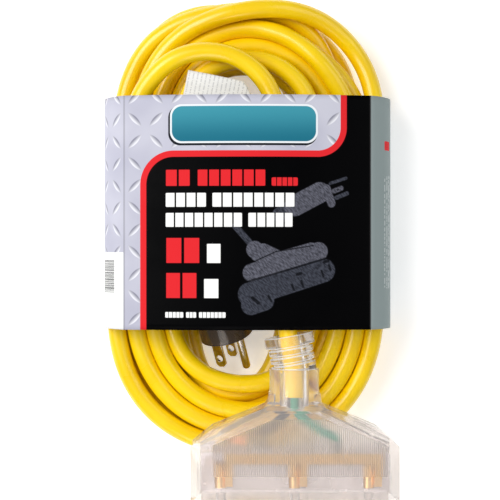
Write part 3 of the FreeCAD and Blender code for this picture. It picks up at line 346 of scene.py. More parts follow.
def new_material(name, **values):
    """A material with one Principled shader set to these values, and its graph."""
    made = bpy.data.materials.new(name)
    made.use_nodes = True
    graph = Graph(made.node_tree)
    shader = made.node_tree.nodes["Principled BSDF"]
    for key, value in values.items():
        socket = shader.inputs[key.replace("_", " ")]
        socket.default_value = (*value, 1.0) if isinstance(value, tuple) and len(value) == 3 else value
    return made, graph, shader


def skin(graph, shader, scale, depth, least, most):
    """Feeds a shader's roughness and normal from the moulded skin group."""
    parts = graph.use(
        group_called(moulded_skin), Grain_scale=scale, Grain_depth=depth, Least_rough=least,
        Most_rough=most)
    graph.feed(shader.inputs["Roughness"], parts["Roughness"])
    graph.feed(shader.inputs["Normal"], parts["Normal"])
    return parts["Normal"]


def let_light_through(material, graph, shader, tint):
    """Lets lamps shine through a clear piece without the noise of focused light."""
    clear = graph.node("ShaderNodeBsdfTransparent")
    clear.inputs["Color"].default_value = (*tint, 1.0)
    either = graph.node("ShaderNodeMixShader")
    graph.feed(either.inputs[0], graph.node("ShaderNodeLightPath").outputs["Is Shadow Ray"])
    graph.feed(either.inputs[1], shader.outputs[0])
    graph.feed(either.inputs[2], clear.outputs[0])
    graph.feed(material.node_tree.nodes["Material Output"].inputs["Surface"], either.outputs[0])


# ---------------------------------------------------------------- materials


def jacket_material(look):
    """Yellow jacket: soft gloss, and the slow twist of the cores under the skin."""
    material, graph, shader = new_material(
        "cord jacket", Specular_IOR_Level=0.5, Coat_Weight=0.25, Coat_Roughness=0.15)
    cores = 3.0
    along, around, _ = graph.split(graph.node("ShaderNodeTexCoord").outputs["UV"])
    turns = graph.product(along, CORD_LENGTH / look.twist_pitch)
    phase = graph.math("ADD", turns, around)
    angle = graph.product(graph.math("FRACT", phase), math.tau)
    lobes = graph.math("SINE", graph.product(angle, cores))
    ridge = graph.math("MULTIPLY_ADD", lobes, 0.5, 0.5)
    place = graph.place()
    cloud = graph.map(graph.noise(place, 35.0, 3.0), 0.3, 0.7)
    colour = graph.mix(cloud, tuple(look.jacket), tuple(look.jacket_deep))
    graph.feed(shader.inputs["Base Color"], colour)
    normal = skin(graph, shader, 1400.0, 0.000015, 0.26, 0.36)
    graph.feed(shader.inputs["Normal"], graph.bump(ridge, look.twist_depth, normal))
    return material


def clear_material(name, tint, least, most, haze, ribs=None):
    """Clear or milky moulding, with fine ribs across a tapering panel where they are given; painted shade
    darkens the ribs' grooves.
    """
    groove_shade, shadow_floor = 0.62, 0.55
    material, graph, shader = new_material(
        name, Base_Color=tint, Transmission_Weight=1.0 - haze, IOR=1.45)
    normal = skin(graph, shader, 500.0, 0.00004, least, most)
    if ribs:
        across, along, up = graph.split(graph.place())
        wave = graph.math("SINE", graph.product(across, math.tau / ribs["pitch"]))
        share = graph.map(along, ribs["bend"], ribs["high"], 0.0, 1.0, smooth=False)
        left = graph.map(share, 0.0, 1.0, ribs["left"][0], ribs["left"][1], smooth=False)
        right = graph.map(share, 0.0, 1.0, ribs["right"][0], ribs["right"][1], smooth=False)
        panel = graph.product(
            graph.math("GREATER_THAN", across, left), graph.math("LESS_THAN", across, right),
            graph.math("GREATER_THAN", along, ribs["low"]), graph.math("LESS_THAN", along, ribs["high"]),
            graph.math("GREATER_THAN", up, ribs["level"]))
        height = graph.product(graph.math("MULTIPLY_ADD", wave, 0.5, 0.5), panel)
        graph.feed(shader.inputs["Normal"], graph.bump(height, ribs["depth"], normal))
        # painted shade: the grooves between the ribs are coloured darker than the tint, as shade would fall
        # in them
        groove = tuple(groove_shade * part for part in tint)
        ribs_with_painted_shade = graph.mix(height, groove, tint)
        graph.feed(shader.inputs["Base Color"], graph.mix(panel, tint, ribs_with_painted_shade))
        frost = graph.map(panel, 0.0, 1.0, least, ribs["frost"], smooth=False)
        graph.feed(shader.inputs["Roughness"], frost)
    shadow = tuple(shadow_floor + (1 - shadow_floor) * part for part in tint)
    let_light_through(material, graph, shader, shadow)
    return material


def metal_material(name, colour, roughness, stretch):
    """Drawn or stamped metal: fine streaks along one way, and a little tarnish."""
    dulled, rougher, streak_depth = 0.78, 0.12, 0.000006
    material, graph, shader = new_material(name, Metallic=1.0)
    drawn = graph.join(*(graph.product(part, share)
                         for part, share in zip(graph.split(graph.place()), stretch)))
    streaks = graph.noise(drawn, 1600.0, 1.0)
    tarnish = graph.map(graph.noise(graph.place(), 90.0, 3.0), 0.45, 0.85)
    dull = tuple(dulled * part for part in colour)
    graph.feed(shader.inputs["Base Color"], graph.mix(tarnish, colour, dull))
    graph.feed(shader.inputs["Roughness"],
               graph.map(tarnish, 0.0, 1.0, roughness, roughness + rougher))
    graph.feed(shader.inputs["Normal"], graph.bump(streaks, streak_depth))
    return material


def plastic_material(name, colour, least=0.35, most=0.5):
    """Opaque moulded plastic or insulation in one colour, with uneven gloss."""
    material, graph, shader = new_material(name)
    cloud = graph.map(graph.noise(graph.place(), 120.0, 2.0), 0.3, 0.7)
    deep_share = 0.8
    deep = tuple(deep_share * part for part in colour)
    graph.feed(shader.inputs["Base Color"], graph.mix(cloud, colour, deep))
    skin(graph, shader, 1200.0, 0.00002, least, most)
    return material


def banded_material():
    """The resistor's coat: tan, with three coloured bands along its length."""
    material, graph, shader = new_material("resistor coat")
    across, _, _ = graph.split(graph.place())
    band_pitch, band_share = 1.3 * MM, 0.4
    cycle = graph.math("FRACT", graph.product(across, 1 / band_pitch))
    band = graph.math("LESS_THAN", cycle, band_share)
    graph.feed(shader.inputs["Base Color"], graph.mix(band, linear(205, 172, 120), linear(120, 40, 25)))
    skin(graph, shader, 1500.0, 0.00001, 0.3, 0.4)
    return material


def lamp_material():
    """The small neon lamp: clear glass with a warm glow inside."""
    material, graph, shader = new_material(
        "lamp glass", Base_Color=linear(255, 205, 170), Transmission_Weight=0.7, IOR=1.5)
    glow = graph.map(graph.noise(graph.place(), 500.0, 1.0), 0.35, 0.65, 0.3, 0.8)
    shader.inputs["Emission Strength"].default_value = 0.25
    graph.feed(shader.inputs["Emission Color"],
               graph.mix(glow, linear(255, 120, 60), linear(255, 170, 90)))
    skin(graph, shader, 700.0, 0.00001, 0.05, 0.15)
    return material


def paper_material():
    """White tag paper: faint fibres, and grey lines where its small print would be."""
    row_pitch, word_stretch, ink_strength = 2.3, 0.5, 0.35
    material, graph, shader = new_material("tag paper")
    along, across, _ = graph.split(graph.node("ShaderNodeTexCoord").outputs["UV"])
    rows = graph.product(along, 1 / row_pitch)
    off_middle = graph.math("ABSOLUTE", graph.math("SUBTRACT", graph.math("FRACT", rows), 0.5))
    line = graph.map(off_middle, 0.12, 0.2, 1.0, 0.0)
    ragged = graph.join(graph.product(across, word_stretch), graph.math("FLOOR", rows))
    words = graph.map(graph.noise(ragged, 2.0, 3.0), 0.44, 0.5)
    inked = graph.product(line, words, ink_strength)
    fibres = graph.noise(graph.place(), 900.0, 4.0)
    white = graph.mix(fibres, linear(248, 247, 243), linear(226, 225, 220))
    graph.feed(shader.inputs["Base Color"], graph.mix(inked, white, linear(120, 122, 128)))
    skin(graph, shader, 1800.0, 0.00004, 0.65, 0.8)
    return material


# Blocks that stand for words: ink, then left, right, bottom and top in the print's millimetres.
WORDS = (
    ("red", 22.8, 36.9, 77.8, 86.5), ("red", 40.2, 77.6, 77.8, 86.5), ("red", 80.3, 94.9, 77.8, 82.3),
    ("white", 22.8, 45.6, 66.5, 74.0), ("white", 48.2, 93.3, 66.5, 74.0),
    ("white", 22.8, 65.0, 55.7, 63.2), ("white", 67.6, 92.2, 55.7, 63.2),
    ("red", 22.8, 42.3, 36.2, 49.7), ("white", 45.0, 53.7, 36.2, 46.5),
    ("red", 22.8, 40.7, 17.3, 30.8), ("white", 43.4, 52.6, 17.3, 27.6),
    ("white", 22.8, 33.0, 6.7, 9.7), ("white", 34.2, 40.0, 6.7, 9.7), ("white", 41.2, 55.9, 6.7, 9.7))
# Strokes of the drawing: ink, both ends of the stroke and its half width.
PICTURE = (
    ("mid", 60.9, 56.1, 68.5, 47.5, 1.7), ("light", 71.5, 43.5, 73.5, 41.5, 4.6),
    ("light", 76.0, 42.5, 82.5, 39.5, 4.2), ("light", 70.0, 31.0, 106.0, 42.4, 5.0),
    ("light", 84.0, 38.5, 102.0, 43.6, 3.6), ("dark", 68.0, 35.6, 83.0, 42.4, 0.35),
    ("dark", 83.0, 42.4, 103.0, 45.6, 0.35), ("mid", 68.8, 19.4, 108.6, 32.2, 6.4),
    ("mid", 69.5, 13.6, 76.5, 16.0, 5.4), ("dark", 65.5, 25.6, 112.0, 39.2, 0.55),
    ("dark", 70.2, 17.4, 73.4, 14.8, 0.9), ("dark", 78.8, 18.4, 80.4, 15.6, 0.6),
    ("dark", 91.6, 24.6, 92.6, 21.6, 0.6), ("dark", 96.6, 26.6, 97.6, 23.4, 0.6),
    ("dark", 94.2, 30.0, 96.4, 30.6, 0.8), ("dark", 107.6, 32.0, 108.6, 29.0, 0.6),
    ("dark", 111.6, 35.0, 112.6, 32.4, 0.6), ("dark", 109.0, 36.6, 111.2, 37.4, 0.8),
    ("mid", 85.0, 62.0, 89.0, 64.6, 4.2), ("light", 93.0, 67.0, 106.6, 74.2, 5.6),
    ("light", 110.4, 76.4, 113.0, 68.4, 2.2), ("mid", 112.4, 79.2, 121.0, 82.0, 0.8),
    ("light", 114.4, 75.0, 118.4, 76.6, 1.3), ("mid", 115.6, 71.4, 121.6, 73.8, 1.1),
    ("dark", 116.4, 75.7, 116.8, 75.9, 0.5))
PICTURE_INKS = {
    "light": linear(104, 105, 117),
    "mid": linear(72, 75, 86),
    "dark": linear(6, 6, 8),
}


def bar_mask(graph, across, up, left, right, bottom, top, corner):
    """1 inside one bar of the print, 0 outside."""
    bar = graph.use(group_called(word_bar), U=across, V=up, Left=left, Right=right, Bottom=bottom,
                    Top=top, Corner=corner)
    return bar["Mask"]


def front_print(graph, across, up, look):
    """The front panel's colours: silver tread plate, red keyline, black field, bars and pictures."""
    keyline, corner, field_left, field_top, step_left, blend = 3.4, 15.0, 12.5, 93.5, 121.5, 16.0
    off_left = graph.math("SUBTRACT", field_left + corner, across)
    off_top = graph.math("SUBTRACT", up, field_top - corner)
    round_part = graph.length(graph.math("MAXIMUM", off_left, 0.0), graph.math("MAXIMUM", off_top, 0.0))
    flat_part = graph.math("MINIMUM", graph.math("MAXIMUM", off_left, off_top), 0.0)
    slab = graph.math("SUBTRACT", graph.math("ADD", round_part, flat_part), corner)
    strip = graph.math("SUBTRACT", step_left, across)
    nearest = graph.math("MAXIMUM", graph.math("MINIMUM", slab, strip), blend)
    dip = graph.length(
        graph.math("MAXIMUM", graph.math("SUBTRACT", blend, slab), 0.0),
        graph.math("MAXIMUM", graph.math("SUBTRACT", blend, strip), 0.0))
    distance = graph.math("SUBTRACT", nearest, dip)
    black = graph.inside(distance)
    red = graph.inside(graph.math("SUBTRACT", distance, keyline))

    colour = tread_colour(graph, across, up, look)
    teal = graph.mix(graph.map(up, 101.0, 121.0), tuple(look.teal), linear(66, 150, 168))
    badge = (
        (24.6, 105.4, 99.6, 121.2, 6.6, linear(28, 32, 38)),
        (25.6, 105.6, 100.8, 121.8, 6.2, linear(236, 240, 244)),
        (26.6, 104.6, 101.8, 120.8, 5.6, teal))
    for *place, ink in badge:
        colour = graph.mix(bar_mask(graph, across, up, *place), colour, ink)
    colour = graph.mix(red, colour, tuple(look.red))
    colour = graph.mix(black, colour, tuple(look.black))

    stroke = group_called(broad_stroke)
    hatch_across, hatch_along, dark_cover, soft_edge = 0.55, 0.12, 0.8, 0.3
    slanted = graph.join(
        graph.product(graph.math("ADD", across, up), hatch_across),
        graph.product(graph.math("SUBTRACT", up, across), hatch_along))
    hatch = graph.map(graph.noise(slanted, 2.4, 3.0), 0.36, 0.66, 0.35, 1.0)
    for ink, from_u, from_v, to_u, to_v, half in PICTURE:
        away = graph.use(stroke, U=across, V=up, From_U=from_u, From_V=from_v, To_U=to_u, To_V=to_v,
                         Half_width=half)["Distance"]
        drawn = graph.inside(away, soft_edge)
        if ink == "dark":
            colour = graph.mix(graph.product(drawn, dark_cover), colour, PICTURE_INKS[ink])
            continue
        tone = graph.mix(hatch, PICTURE_INKS["dark"], PICTURE_INKS[ink])
        colour = graph.mix(drawn, colour, tone)
    inks = {"red": tuple(look.red), "white": linear(250, 250, 248)}
    letter_share, most_corner, corner_share, gap_start, gap_end = 0.72, 1.2, 0.25, 0.40, 0.44
    for ink, left, right, bottom, top in WORDS:
        corner = min(most_corner, corner_share * (top - bottom))
        word = bar_mask(graph, across, up, left, right, bottom, top, corner)
        count = max(1, round((right - left) / (letter_share * (top - bottom))))
        step = graph.product(graph.math("SUBTRACT", across, left), count / (right - left))
        gap = graph.math("ABSOLUTE", graph.math("SUBTRACT", graph.math("FRACT", step), 0.5))
        block = graph.map(gap, gap_start, gap_end, 1.0, 0.0)
        colour = graph.mix(graph.product(word, block), colour, inks[ink])
    return colour


def tread_colour(graph, across, up, look):
    """Silver plate: lilac-grey ground, lens shapes lit on one side and dark on the other."""
    lens_cover = 0.9
    plate = graph.use(group_called(tread_plate), U=across, V=up)
    ground = graph.mix(graph.map(graph.noise(graph.place(), 30.0), 0.3, 0.7), tuple(look.silver),
                       linear(186, 186, 202))
    lens = graph.mix(plate["Lit side"], linear(244, 244, 250), linear(118, 118, 136))
    return graph.mix(graph.product(plate["Lens"], lens_cover), ground, lens)


def sleeve_material(look):
    """The sleeve's print, laid out by its own map: millimetres round it from the left crease and up."""
    material, graph, shader = new_material("printed card", Specular_IOR_Level=0.03)
    across, up, _ = graph.split(graph.node("ShaderNodeTexCoord").outputs["UV"])
    front = front_print(graph, across, up, look)

    bar_pitch, bar_share = 1.3, 0.5
    side = tread_colour(graph, across, up, look)
    label = bar_mask(graph, across, up, -SIDE_RUN / MM - 1, -0.4, -2.0, 42.0, 0.4)
    side = graph.mix(label, side, linear(244, 244, 242))
    strips = graph.join(0.0, graph.product(up, bar_pitch))
    bars = graph.math("GREATER_THAN", graph.noise(strips, 1.9, 4.0), bar_share)
    block = bar_mask(graph, across, up, -30.0, -8.0, 20.0, 38.0, 0.1)
    side = graph.mix(graph.product(bars, block), side, linear(40, 42, 48))

    right_start, back_start = FRONT_RUN / MM, (FRONT_RUN + SIDE_RUN) / MM
    row_pitch, half_line, word_stretch, word_share = 3.1, 0.17, 0.35, 0.47
    faint_ink, back_ink, crease_width, crease_shade_share = 0.6, 0.85, 0.8, 0.45
    rows = graph.product(across, 1 / row_pitch)
    off_middle = graph.math("ABSOLUTE", graph.math("SUBTRACT", graph.math("FRACT", rows), 0.5))
    line = graph.math("LESS_THAN", off_middle, half_line)
    spaced = graph.join(graph.math("FLOOR", rows), graph.product(up, word_stretch))
    words = graph.math("GREATER_THAN", graph.noise(spaced, 1.7, 2.0), word_share)
    printed = graph.product(line, words)
    paragraph = bar_mask(graph, across, up, right_start + 12, right_start + 30, 22.0, 84.0, 0.5)
    faint = graph.product(printed, paragraph, faint_ink)
    other = graph.mix(faint, tuple(look.grey), linear(236, 240, 240))
    mark = bar_mask(graph, across, up, right_start + 12, right_start + 20, 98.0, 103.0, 0.8)
    other = graph.mix(mark, other, tuple(look.red))
    back = graph.mix(graph.product(printed, back_ink), tuple(look.black), linear(232, 232, 230))

    colour = graph.mix(graph.math("LESS_THAN", across, 0.0), front, side)
    colour = graph.mix(graph.math("GREATER_THAN", across, right_start), colour, other)
    colour = graph.mix(graph.math("GREATER_THAN", across, back_start), colour, back)
    # painted shade: a dark grey line along the two front creases
    crease = graph.math("MINIMUM", graph.math("ABSOLUTE", across),
                        graph.math("ABSOLUTE", graph.math("SUBTRACT", across, right_start)))
    painted_crease_shade = graph.map(crease, 0.0, crease_width, crease_shade_share, 0.0)
    colour = graph.mix(painted_crease_shade, colour, linear(96, 94, 96))
    graph.feed(shader.inputs["Base Color"], colour)
    skin(graph, shader, 600.0, 0.00003, 0.38, 0.5)
    return material


def board_material():
    """The sleeve's bare inside and cut edges: pale grey board with fibres."""
    material, graph, shader = new_material("bare board")
    fibres = graph.noise(graph.place(), 700.0, 4.0)
    graph.feed(shader.inputs["Base Color"], graph.mix(fibres, linear(222, 220, 212), linear(186, 183, 174)))
    skin(graph, shader, 1500.0, 0.00005, 0.7, 0.85)
    return material


# ---------------------------------------------------------------- mesh pieces


def own_piece(obj, body, slot, *nodes):
    """Puts a finished piece on its body and in place of its plain solids; the slot it is given is not used.
    """
    bpy.context.scene.collection.objects.link(obj)
    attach(obj, body)
    if nodes:
        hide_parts(*nodes)


def smooth_by_angle(mesh, degrees):
    """Shades a mesh smooth, and sharp only across edges that turn by more than that."""
    mesh.polygons.foreach_set("use_smooth", np.ones(len(mesh.polygons), bool))
    mesh.set_sharp_from_angle(angle=math.radians(degrees))


def grid_mesh(name, points, uv, closed=False):
    """A mesh of a rows by columns grid of points, with a map given at every point; closed joins the
    last column to the first, and then the map has one column more."""
    rows, columns, _ = points.shape
    last = columns if closed else columns - 1
    row, column = np.meshgrid(np.arange(rows - 1), np.arange(last), indexing="ij")
    beside = (column + 1) % columns
    faces = np.stack((row * columns + column, row * columns + beside,
                      (row + 1) * columns + beside, (row + 1) * columns + column), -1).reshape(-1, 4)
    mesh = bpy.data.meshes.new(name)
    mesh.from_pydata(points.reshape(-1, 3), [], faces)
    corners = np.stack((uv[row, column], uv[row, column + 1], uv[row + 1, column + 1],
                        uv[row + 1, column]), 2)
    mesh.uv_layers.new(name="UVMap").data.foreach_set("uv", corners.reshape(-1))
    mesh.update()
    return mesh


def finished_copy(node, name, slot, edge, *finishes):
    """A copy of a CAD node in its place on the cord set, with its corners merged, shaded smooth and
    its edges slightly rounded. The rounded edges take the second finish where there is one, a whiter clear
    that paints highlights along the edges."""
    same_point, flat, sharp = 0.01 * MM, math.radians(0.5), 32.0
    mesh = NODES[node].data.copy()
    mesh.materials.clear()
    joined = bmesh.new()
    joined.from_mesh(mesh)
    bmesh.ops.remove_doubles(joined, verts=joined.verts, dist=same_point)
    bmesh.ops.dissolve_limit(joined, angle_limit=flat, verts=joined.verts, edges=joined.edges)
    joined.to_mesh(mesh)
    joined.free()
    smooth_by_angle(mesh, sharp)
    for finish in finishes:
        mesh.materials.append(finish)
    copy = bpy.data.objects.new(name, mesh)
    if edge:
        rounding = copy.modifiers.new("rounded edges", "BEVEL")
        rounding.width = edge
        rounding.segments = 2
        rounding.limit_method = "ANGLE"
        rounding.angle_limit = math.radians(sharp)
        rounding.material = 1 if len(finishes) > 1 else -1
    own_piece(copy, "cord_set", slot, node)


# ---------------------------------------------------------------- the cord


def route_curve(name, points):
    """A smooth curve with these control points, open and held at both ends."""
    data = bpy.data.curves.new(name, "CURVE")
    data.dimensions = "3D"
    spline = data.splines.new("NURBS")
    spline.points.add(len(points) - 1)
    placed = np.column_stack((points, np.ones(len(points))))
    spline.points.foreach_set("co", placed.reshape(-1))
    spline.order_u = 3
    spline.use_endpoint_u = True
    return data


def points_along(points, spacing):
    """Points about that far apart on the smooth curve that a lead's route makes."""
    data = route_curve("lead line", points)
    data.resolution_u = 24
    obj = bpy.data.objects.new("lead line", data)
    mesh = bpy.data.meshes.new_from_object(obj)
    found = np.empty(len(mesh.vertices) * 3)
    mesh.vertices.foreach_get("co", found)
    bpy.data.objects.remove(obj)
    return evenly(found.reshape(-1, 3), spacing)


def evenly(line, spacing):
    """A line of points walked off again at even steps of about that length."""
    walked = np.concatenate(([0.0], np.cumsum(np.linalg.norm(np.diff(line, axis=0), axis=1))))
    marks = np.linspace(0.0, walked[-1], int(round(walked[-1] / spacing)) + 1)
    return np.column_stack([np.interp(marks, walked, line[:, part]) for part in range(3)])


class Hank:
    """The wound part of the cord: its turns as first laid, and how they settle."""

    # Each turn's layer, counted up, and column, counted inward.
    order = ((2, 0), (2, 1), (2, 2), (2, 3), (1, 3), (1, 2), (1, 1), (1, 0), (0, 0), (0, 1), (0, 2), (0, 3))
    # Where each column's sides, top and bottom lie, and each layer's height.
    left = np.array((-73.5, -62.8, -52.0, -41.3)) * MM
    right = np.array((69.5, 58.6, 48.0, 37.4)) * MM
    top = np.array((112.5, 103.5, 93.0, 81.0)) * MM
    bottom = np.array((-125.0, -114.8, -104.6, -94.4)) * MM
    level = np.array((5.6, 15.6, 25.6)) * MM
    # How far each layer's right side stands in, and how high its straight part reaches.
    right_inset = np.array((3.5, 3.5, 0.0)) * MM
    right_top = np.array((14.0, 14.0, 42.0)) * MM
    # Where each turn's crest lies from the middle and from its column's top.
    top_shift = np.array((25, -14, 6, -8, 4, -10, -8, -20, -18, -6, -12)) * MM
    top_rise = np.array((0, -4, -2, -2, 1, -1, -2, -3, -4, 1, -1)) * MM
    straight_top = 42 * MM
    straight_bottom = -55 * MM
    left_lean = 3.5 * MM
    lowest_spread = 2.5 * MM
    # The last turn ends in the plug's lead, so its foot, right side and height are its own.
    last_foot = -7 * MM
    last_right = 27.5 * MM
    last_lift = 6 * MM
    first_spot, first_level = (-0.0725, -0.016), 0.028
    last_spot, last_level = (0.0285, 0.006), 0.026
    foot_middle, foot_swing, foot_spread, seed = 2, 5, 0.6, 11
    corner_steps, side_steps = 14, 10
    # How it settles: passes, weight, pull back to where it was laid, push apart.
    rounds = ((500, 0.00003, 0.02, 0.5), (500, 0.00001, 0.0, 0.4))
    loose_ends = 3
    bend_steps, stiffness = 4, 0.06
    passes_between_looks, near, neighbours, over_push = 6, 0.005, 4, 1.6
    length_sweeps = 4
    smallest = 1e-9
    # Its room: the outermost lines of the cord's middle, its greatest height, and its margins.
    left_end, right_end, bottom_end, top_end = -0.0748, 0.0718, -0.1300, 0.1138
    highest = 0.0455
    under_block, block_margin = -0.095, 5 * MM
    floor_air, sleeve_margin = 0.2 * MM, 4 * MM

    def corner(self, start, end, level, next_level, upright):
        """A quarter of an ellipse, leaving upright or level, that changes height as a half wave."""
        share = np.linspace(0.0, 1.0, self.corner_steps, endpoint=False)
        quick, slow = np.sin(share * math.pi / 2), np.cos(share * math.pi / 2)
        if upright:
            across = end[0] + (start[0] - end[0]) * slow
            along = start[1] + (end[1] - start[1]) * quick
        else:
            across = start[0] + (end[0] - start[0]) * quick
            along = end[1] + (start[1] - end[1]) * slow
        height = level + (next_level - level) * (1 - np.cos(math.pi * share)) / 2
        return np.column_stack((across, along, height))

    def side(self, start, end, level, next_level):
        """A straight side that changes height as a half wave."""
        share = np.linspace(0.0, 1.0, self.side_steps, endpoint=False)
        height = level + (next_level - level) * (1 - np.cos(math.pi * share)) / 2
        return np.column_stack((start[0] + (end[0] - start[0]) * share,
                                start[1] + (end[1] - start[1]) * share, height))

    def first_laid(self):
        """Turn after turn: down the left, round the bottom, up the right and round the top."""
        uneven = np.random.default_rng(self.seed)
        line = []
        for turn, (layer, column) in enumerate(self.order):
            spread = self.lowest_spread if layer == 0 else 0.0
            level = self.level[layer]
            left, right = self.left[column] + spread, self.right[column] - self.right_inset[layer]
            last = turn == len(self.order) - 1
            low = (left, self.straight_bottom)
            if turn == 0:
                line.append(self.side(self.first_spot, low, self.first_level, level))
            else:
                line.append(self.side((left + self.left_lean, self.straight_top), low, level, level))
            swing = self.foot_swing * uneven.uniform(-self.foot_spread, self.foot_spread)
            foot = ((self.foot_middle + swing) * MM, self.bottom[column])
            if last:
                foot = (self.last_foot, self.bottom[column])
                right = self.last_right
            lift = self.last_lift if last else 0.0
            line.append(self.corner(low, foot, level, level, True))
            line.append(self.corner(foot, (right, self.straight_bottom), level, level + lift, False))
            if last:
                line.append(self.side((right, self.straight_bottom), self.last_spot, level + lift,
                                      self.last_level))
                break
            next_layer, next_column = self.order[turn + 1]
            next_left = self.left[next_column] + (self.lowest_spread if next_layer == 0 else 0.0)
            crest = (self.top_shift[turn], self.top[min(column, next_column)] + self.top_rise[turn])
            bend = (right, self.right_top[layer])
            line.append(self.side((right, self.straight_bottom), bend, level, level))
            line.append(self.corner(bend, crest, level, level, True))
            line.append(self.corner(crest, (next_left + self.left_lean, self.straight_top), level,
                                    self.level[next_layer], False))
        return np.concatenate(line)

    def settle(self, tap_line, plug_line):
        """Lets the turns slide, bend and push apart until they lie in and beside the sleeve.

        Every point keeps its distance from the next one, a fourth difference stands for the cord's
        stiffness, and points of other turns are pushed a diameter apart. The smooth curve runs an
        eighth of the second difference inside its points, so they are moved out by that."""
        laid = self.first_laid()
        spare = LAID_LENGTH - np.linalg.norm(np.diff(tap_line, axis=0), axis=1).sum()
        spare -= np.linalg.norm(np.diff(plug_line, axis=0), axis=1).sum()
        count = int(round(spare / STEP)) + 1
        laid_run = np.linalg.norm(np.diff(laid, axis=0), axis=1).sum()
        wound = evenly(laid, laid_run / (count - 1))
        line = np.vstack((tap_line, wound, plug_line[::-1]))
        free = np.ones(len(line))
        free[:len(tap_line) - self.loose_ends] = 0.0
        free[len(line) - len(plug_line) + self.loose_ends:] = 0.0
        spacing = np.full(len(line) - 1, STEP)
        first = np.linalg.norm(np.diff(line, axis=0), axis=1)
        spacing[:len(tap_line) - 1] = first[:len(tap_line) - 1]
        spacing[len(line) - len(plug_line):] = first[len(line) - len(plug_line):]
        goal = line.copy()
        for passes, weight, pull, push in self.rounds:
            for number in range(passes):
                line[:, 2] -= weight * free
                line += (goal - line) * (pull * (1 - number / passes) * free)[:, None]
                for _ in range(self.bend_steps):
                    line -= self.stiffness * self.bending(line) * free[:, None]
                if number % self.passes_between_looks == 0:
                    pairs = self.near_pairs(line)
                line += self.apart(line, pairs, free, push)
                kept = self.held_clear(line.copy())
                line = np.where(free[:, None] > 0, kept, line)
                self.keep_length(line, spacing, free)
        wound = line[len(tap_line):len(line) - len(plug_line)][1::2]
        outward = wound.copy()
        outward[1:-1] -= (wound[:-2] - 2 * wound[1:-1] + wound[2:]) / 8
        return outward

    @staticmethod
    def bending(line):
        """The second difference of the second difference, zero at the ends."""
        turn = np.zeros_like(line)
        turn[1:-1] = line[:-2] - 2 * line[1:-1] + line[2:]
        force = np.zeros_like(line)
        force[1:-1] = turn[:-2] - 2 * turn[1:-1] + turn[2:]
        return force

    def near_pairs(self, line):
        """Pairs of points, not neighbours along the cord, that are close enough to touch soon."""
        squares = (line * line).sum(1)
        apart = squares[:, None] + squares[None, :] - 2 * line @ line.T
        first, second = np.where(apart < (2 * CORD_RADIUS + self.near) ** 2)
        keep = second - first > self.neighbours
        return first[keep], second[keep]

    def apart(self, line, pairs, free, push):
        """How far each point moves so that overlapping pairs part, shared by what may move."""
        first, second = pairs
        gap = line[first] - line[second]
        size = np.linalg.norm(gap, axis=1)
        close = size < 2 * CORD_RADIUS
        first, second, gap, size = first[close], second[close], gap[close], size[close]
        share = np.maximum(free[first] + free[second], 1.0)
        gap *= ((2 * CORD_RADIUS - size) / np.maximum(size, self.smallest) * push / share)[:, None]
        moved, hits = np.zeros_like(line), np.zeros(len(line))
        np.add.at(moved, first, gap * free[first][:, None])
        np.add.at(moved, second, -gap * free[second][:, None])
        np.add.at(hits, first, 1)
        np.add.at(hits, second, 1)
        return moved / np.maximum(hits, 1)[:, None] * self.over_push

    def keep_length(self, line, spacing, free):
        """Moves each point and the next one until they are their spacing apart again."""
        for start in (0, 1) * self.length_sweeps:
            at = np.arange(start, len(line) - 1, 2)
            gap = line[at + 1] - line[at]
            size = np.linalg.norm(gap, axis=1)
            share = np.maximum(free[at] + free[at + 1], 1.0)
            gap *= ((size - spacing[at]) / np.maximum(size, self.smallest) / share)[:, None]
            line[at] += gap * free[at][:, None]
            line[at + 1] -= gap * free[at + 1][:, None]

    def off_rod(self, line, start, end, radius):
        """Points inside a round-ended rod are moved straight out to its surface."""
        run = end - start
        share = np.clip(((line - start) @ run) / (run @ run), 0.0, 1.0)
        out = line - (start + share[:, None] * run)
        size = np.linalg.norm(out, axis=1)
        grow = np.where(size < radius, (radius - size) / np.maximum(size, self.smallest), 0.0)
        return line + out * grow[:, None]

    def held_clear(self, line):
        """Keeps the cord on the floor, within the sleeve, and off the plug and the outlet block."""
        for start, end, radius in ROUND_PARTS:
            line = self.off_rod(line, start, end, radius + CORD_RADIUS)
        line[:, 2] = np.maximum(line[:, 2], CORD_RADIUS + self.floor_air)
        sleeved = np.abs(line[:, 1]) < SLEEVE_HALF_HEIGHT + self.sleeve_margin
        line[sleeved, 2] = np.maximum(line[sleeved, 2], CORD_RADIUS + CARD + AIR)
        inner = CARD + CORD_RADIUS + AIR
        for side in (-1, 1):
            centre = side * (SLEEVE_HALF_WIDTH + SLEEVE_BULGE - SIDE_RADIUS)
            off, rise = line[:, 0] - centre, line[:, 2] - SLEEVE_DEPTH / 2
            size = np.hypot(off, rise)
            beyond = sleeved & (side * off > 0) & (size > SIDE_RADIUS - inner)
            pull = np.where(beyond, (SIDE_RADIUS - inner) / np.maximum(size, self.smallest), 1.0)
            line[:, 0], line[:, 2] = centre + off * pull, SLEEVE_DEPTH / 2 + rise * pull
        arch = np.sqrt(np.maximum(FRONT_RADIUS ** 2 - line[:, 0] ** 2, 0.0))
        roof = SLEEVE_DEPTH + SLEEVE_CROWN - FRONT_RADIUS + arch - inner
        line[:, 2] = np.where(sleeved, np.minimum(line[:, 2], roof), line[:, 2])
        line[:, 0] = np.clip(line[:, 0], self.left_end, self.right_end)
        line[:, 1] = np.clip(line[:, 1], self.bottom_end, self.top_end)
        tap_low, tap_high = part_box("tap_housing")
        under = (line[:, 1] < self.under_block) & (line[:, 0] > tap_low[0] - self.block_margin)
        under &= line[:, 0] < tap_high[0] + self.block_margin
        ceiling = np.where(under, tap_low[2] - CORD_RADIUS - AIR, self.highest)
        line[:, 2] = np.minimum(line[:, 2], ceiling)
        return line


# ---------------------------------------------------------------- what a user may change


def colour_setting(name, description, red, green, blue):
    """A colour, given as 0 to 255 display values."""
    return bpy.props.FloatVectorProperty(
        name=name, description=description, subtype="COLOR", size=3, default=linear(red, green, blue))


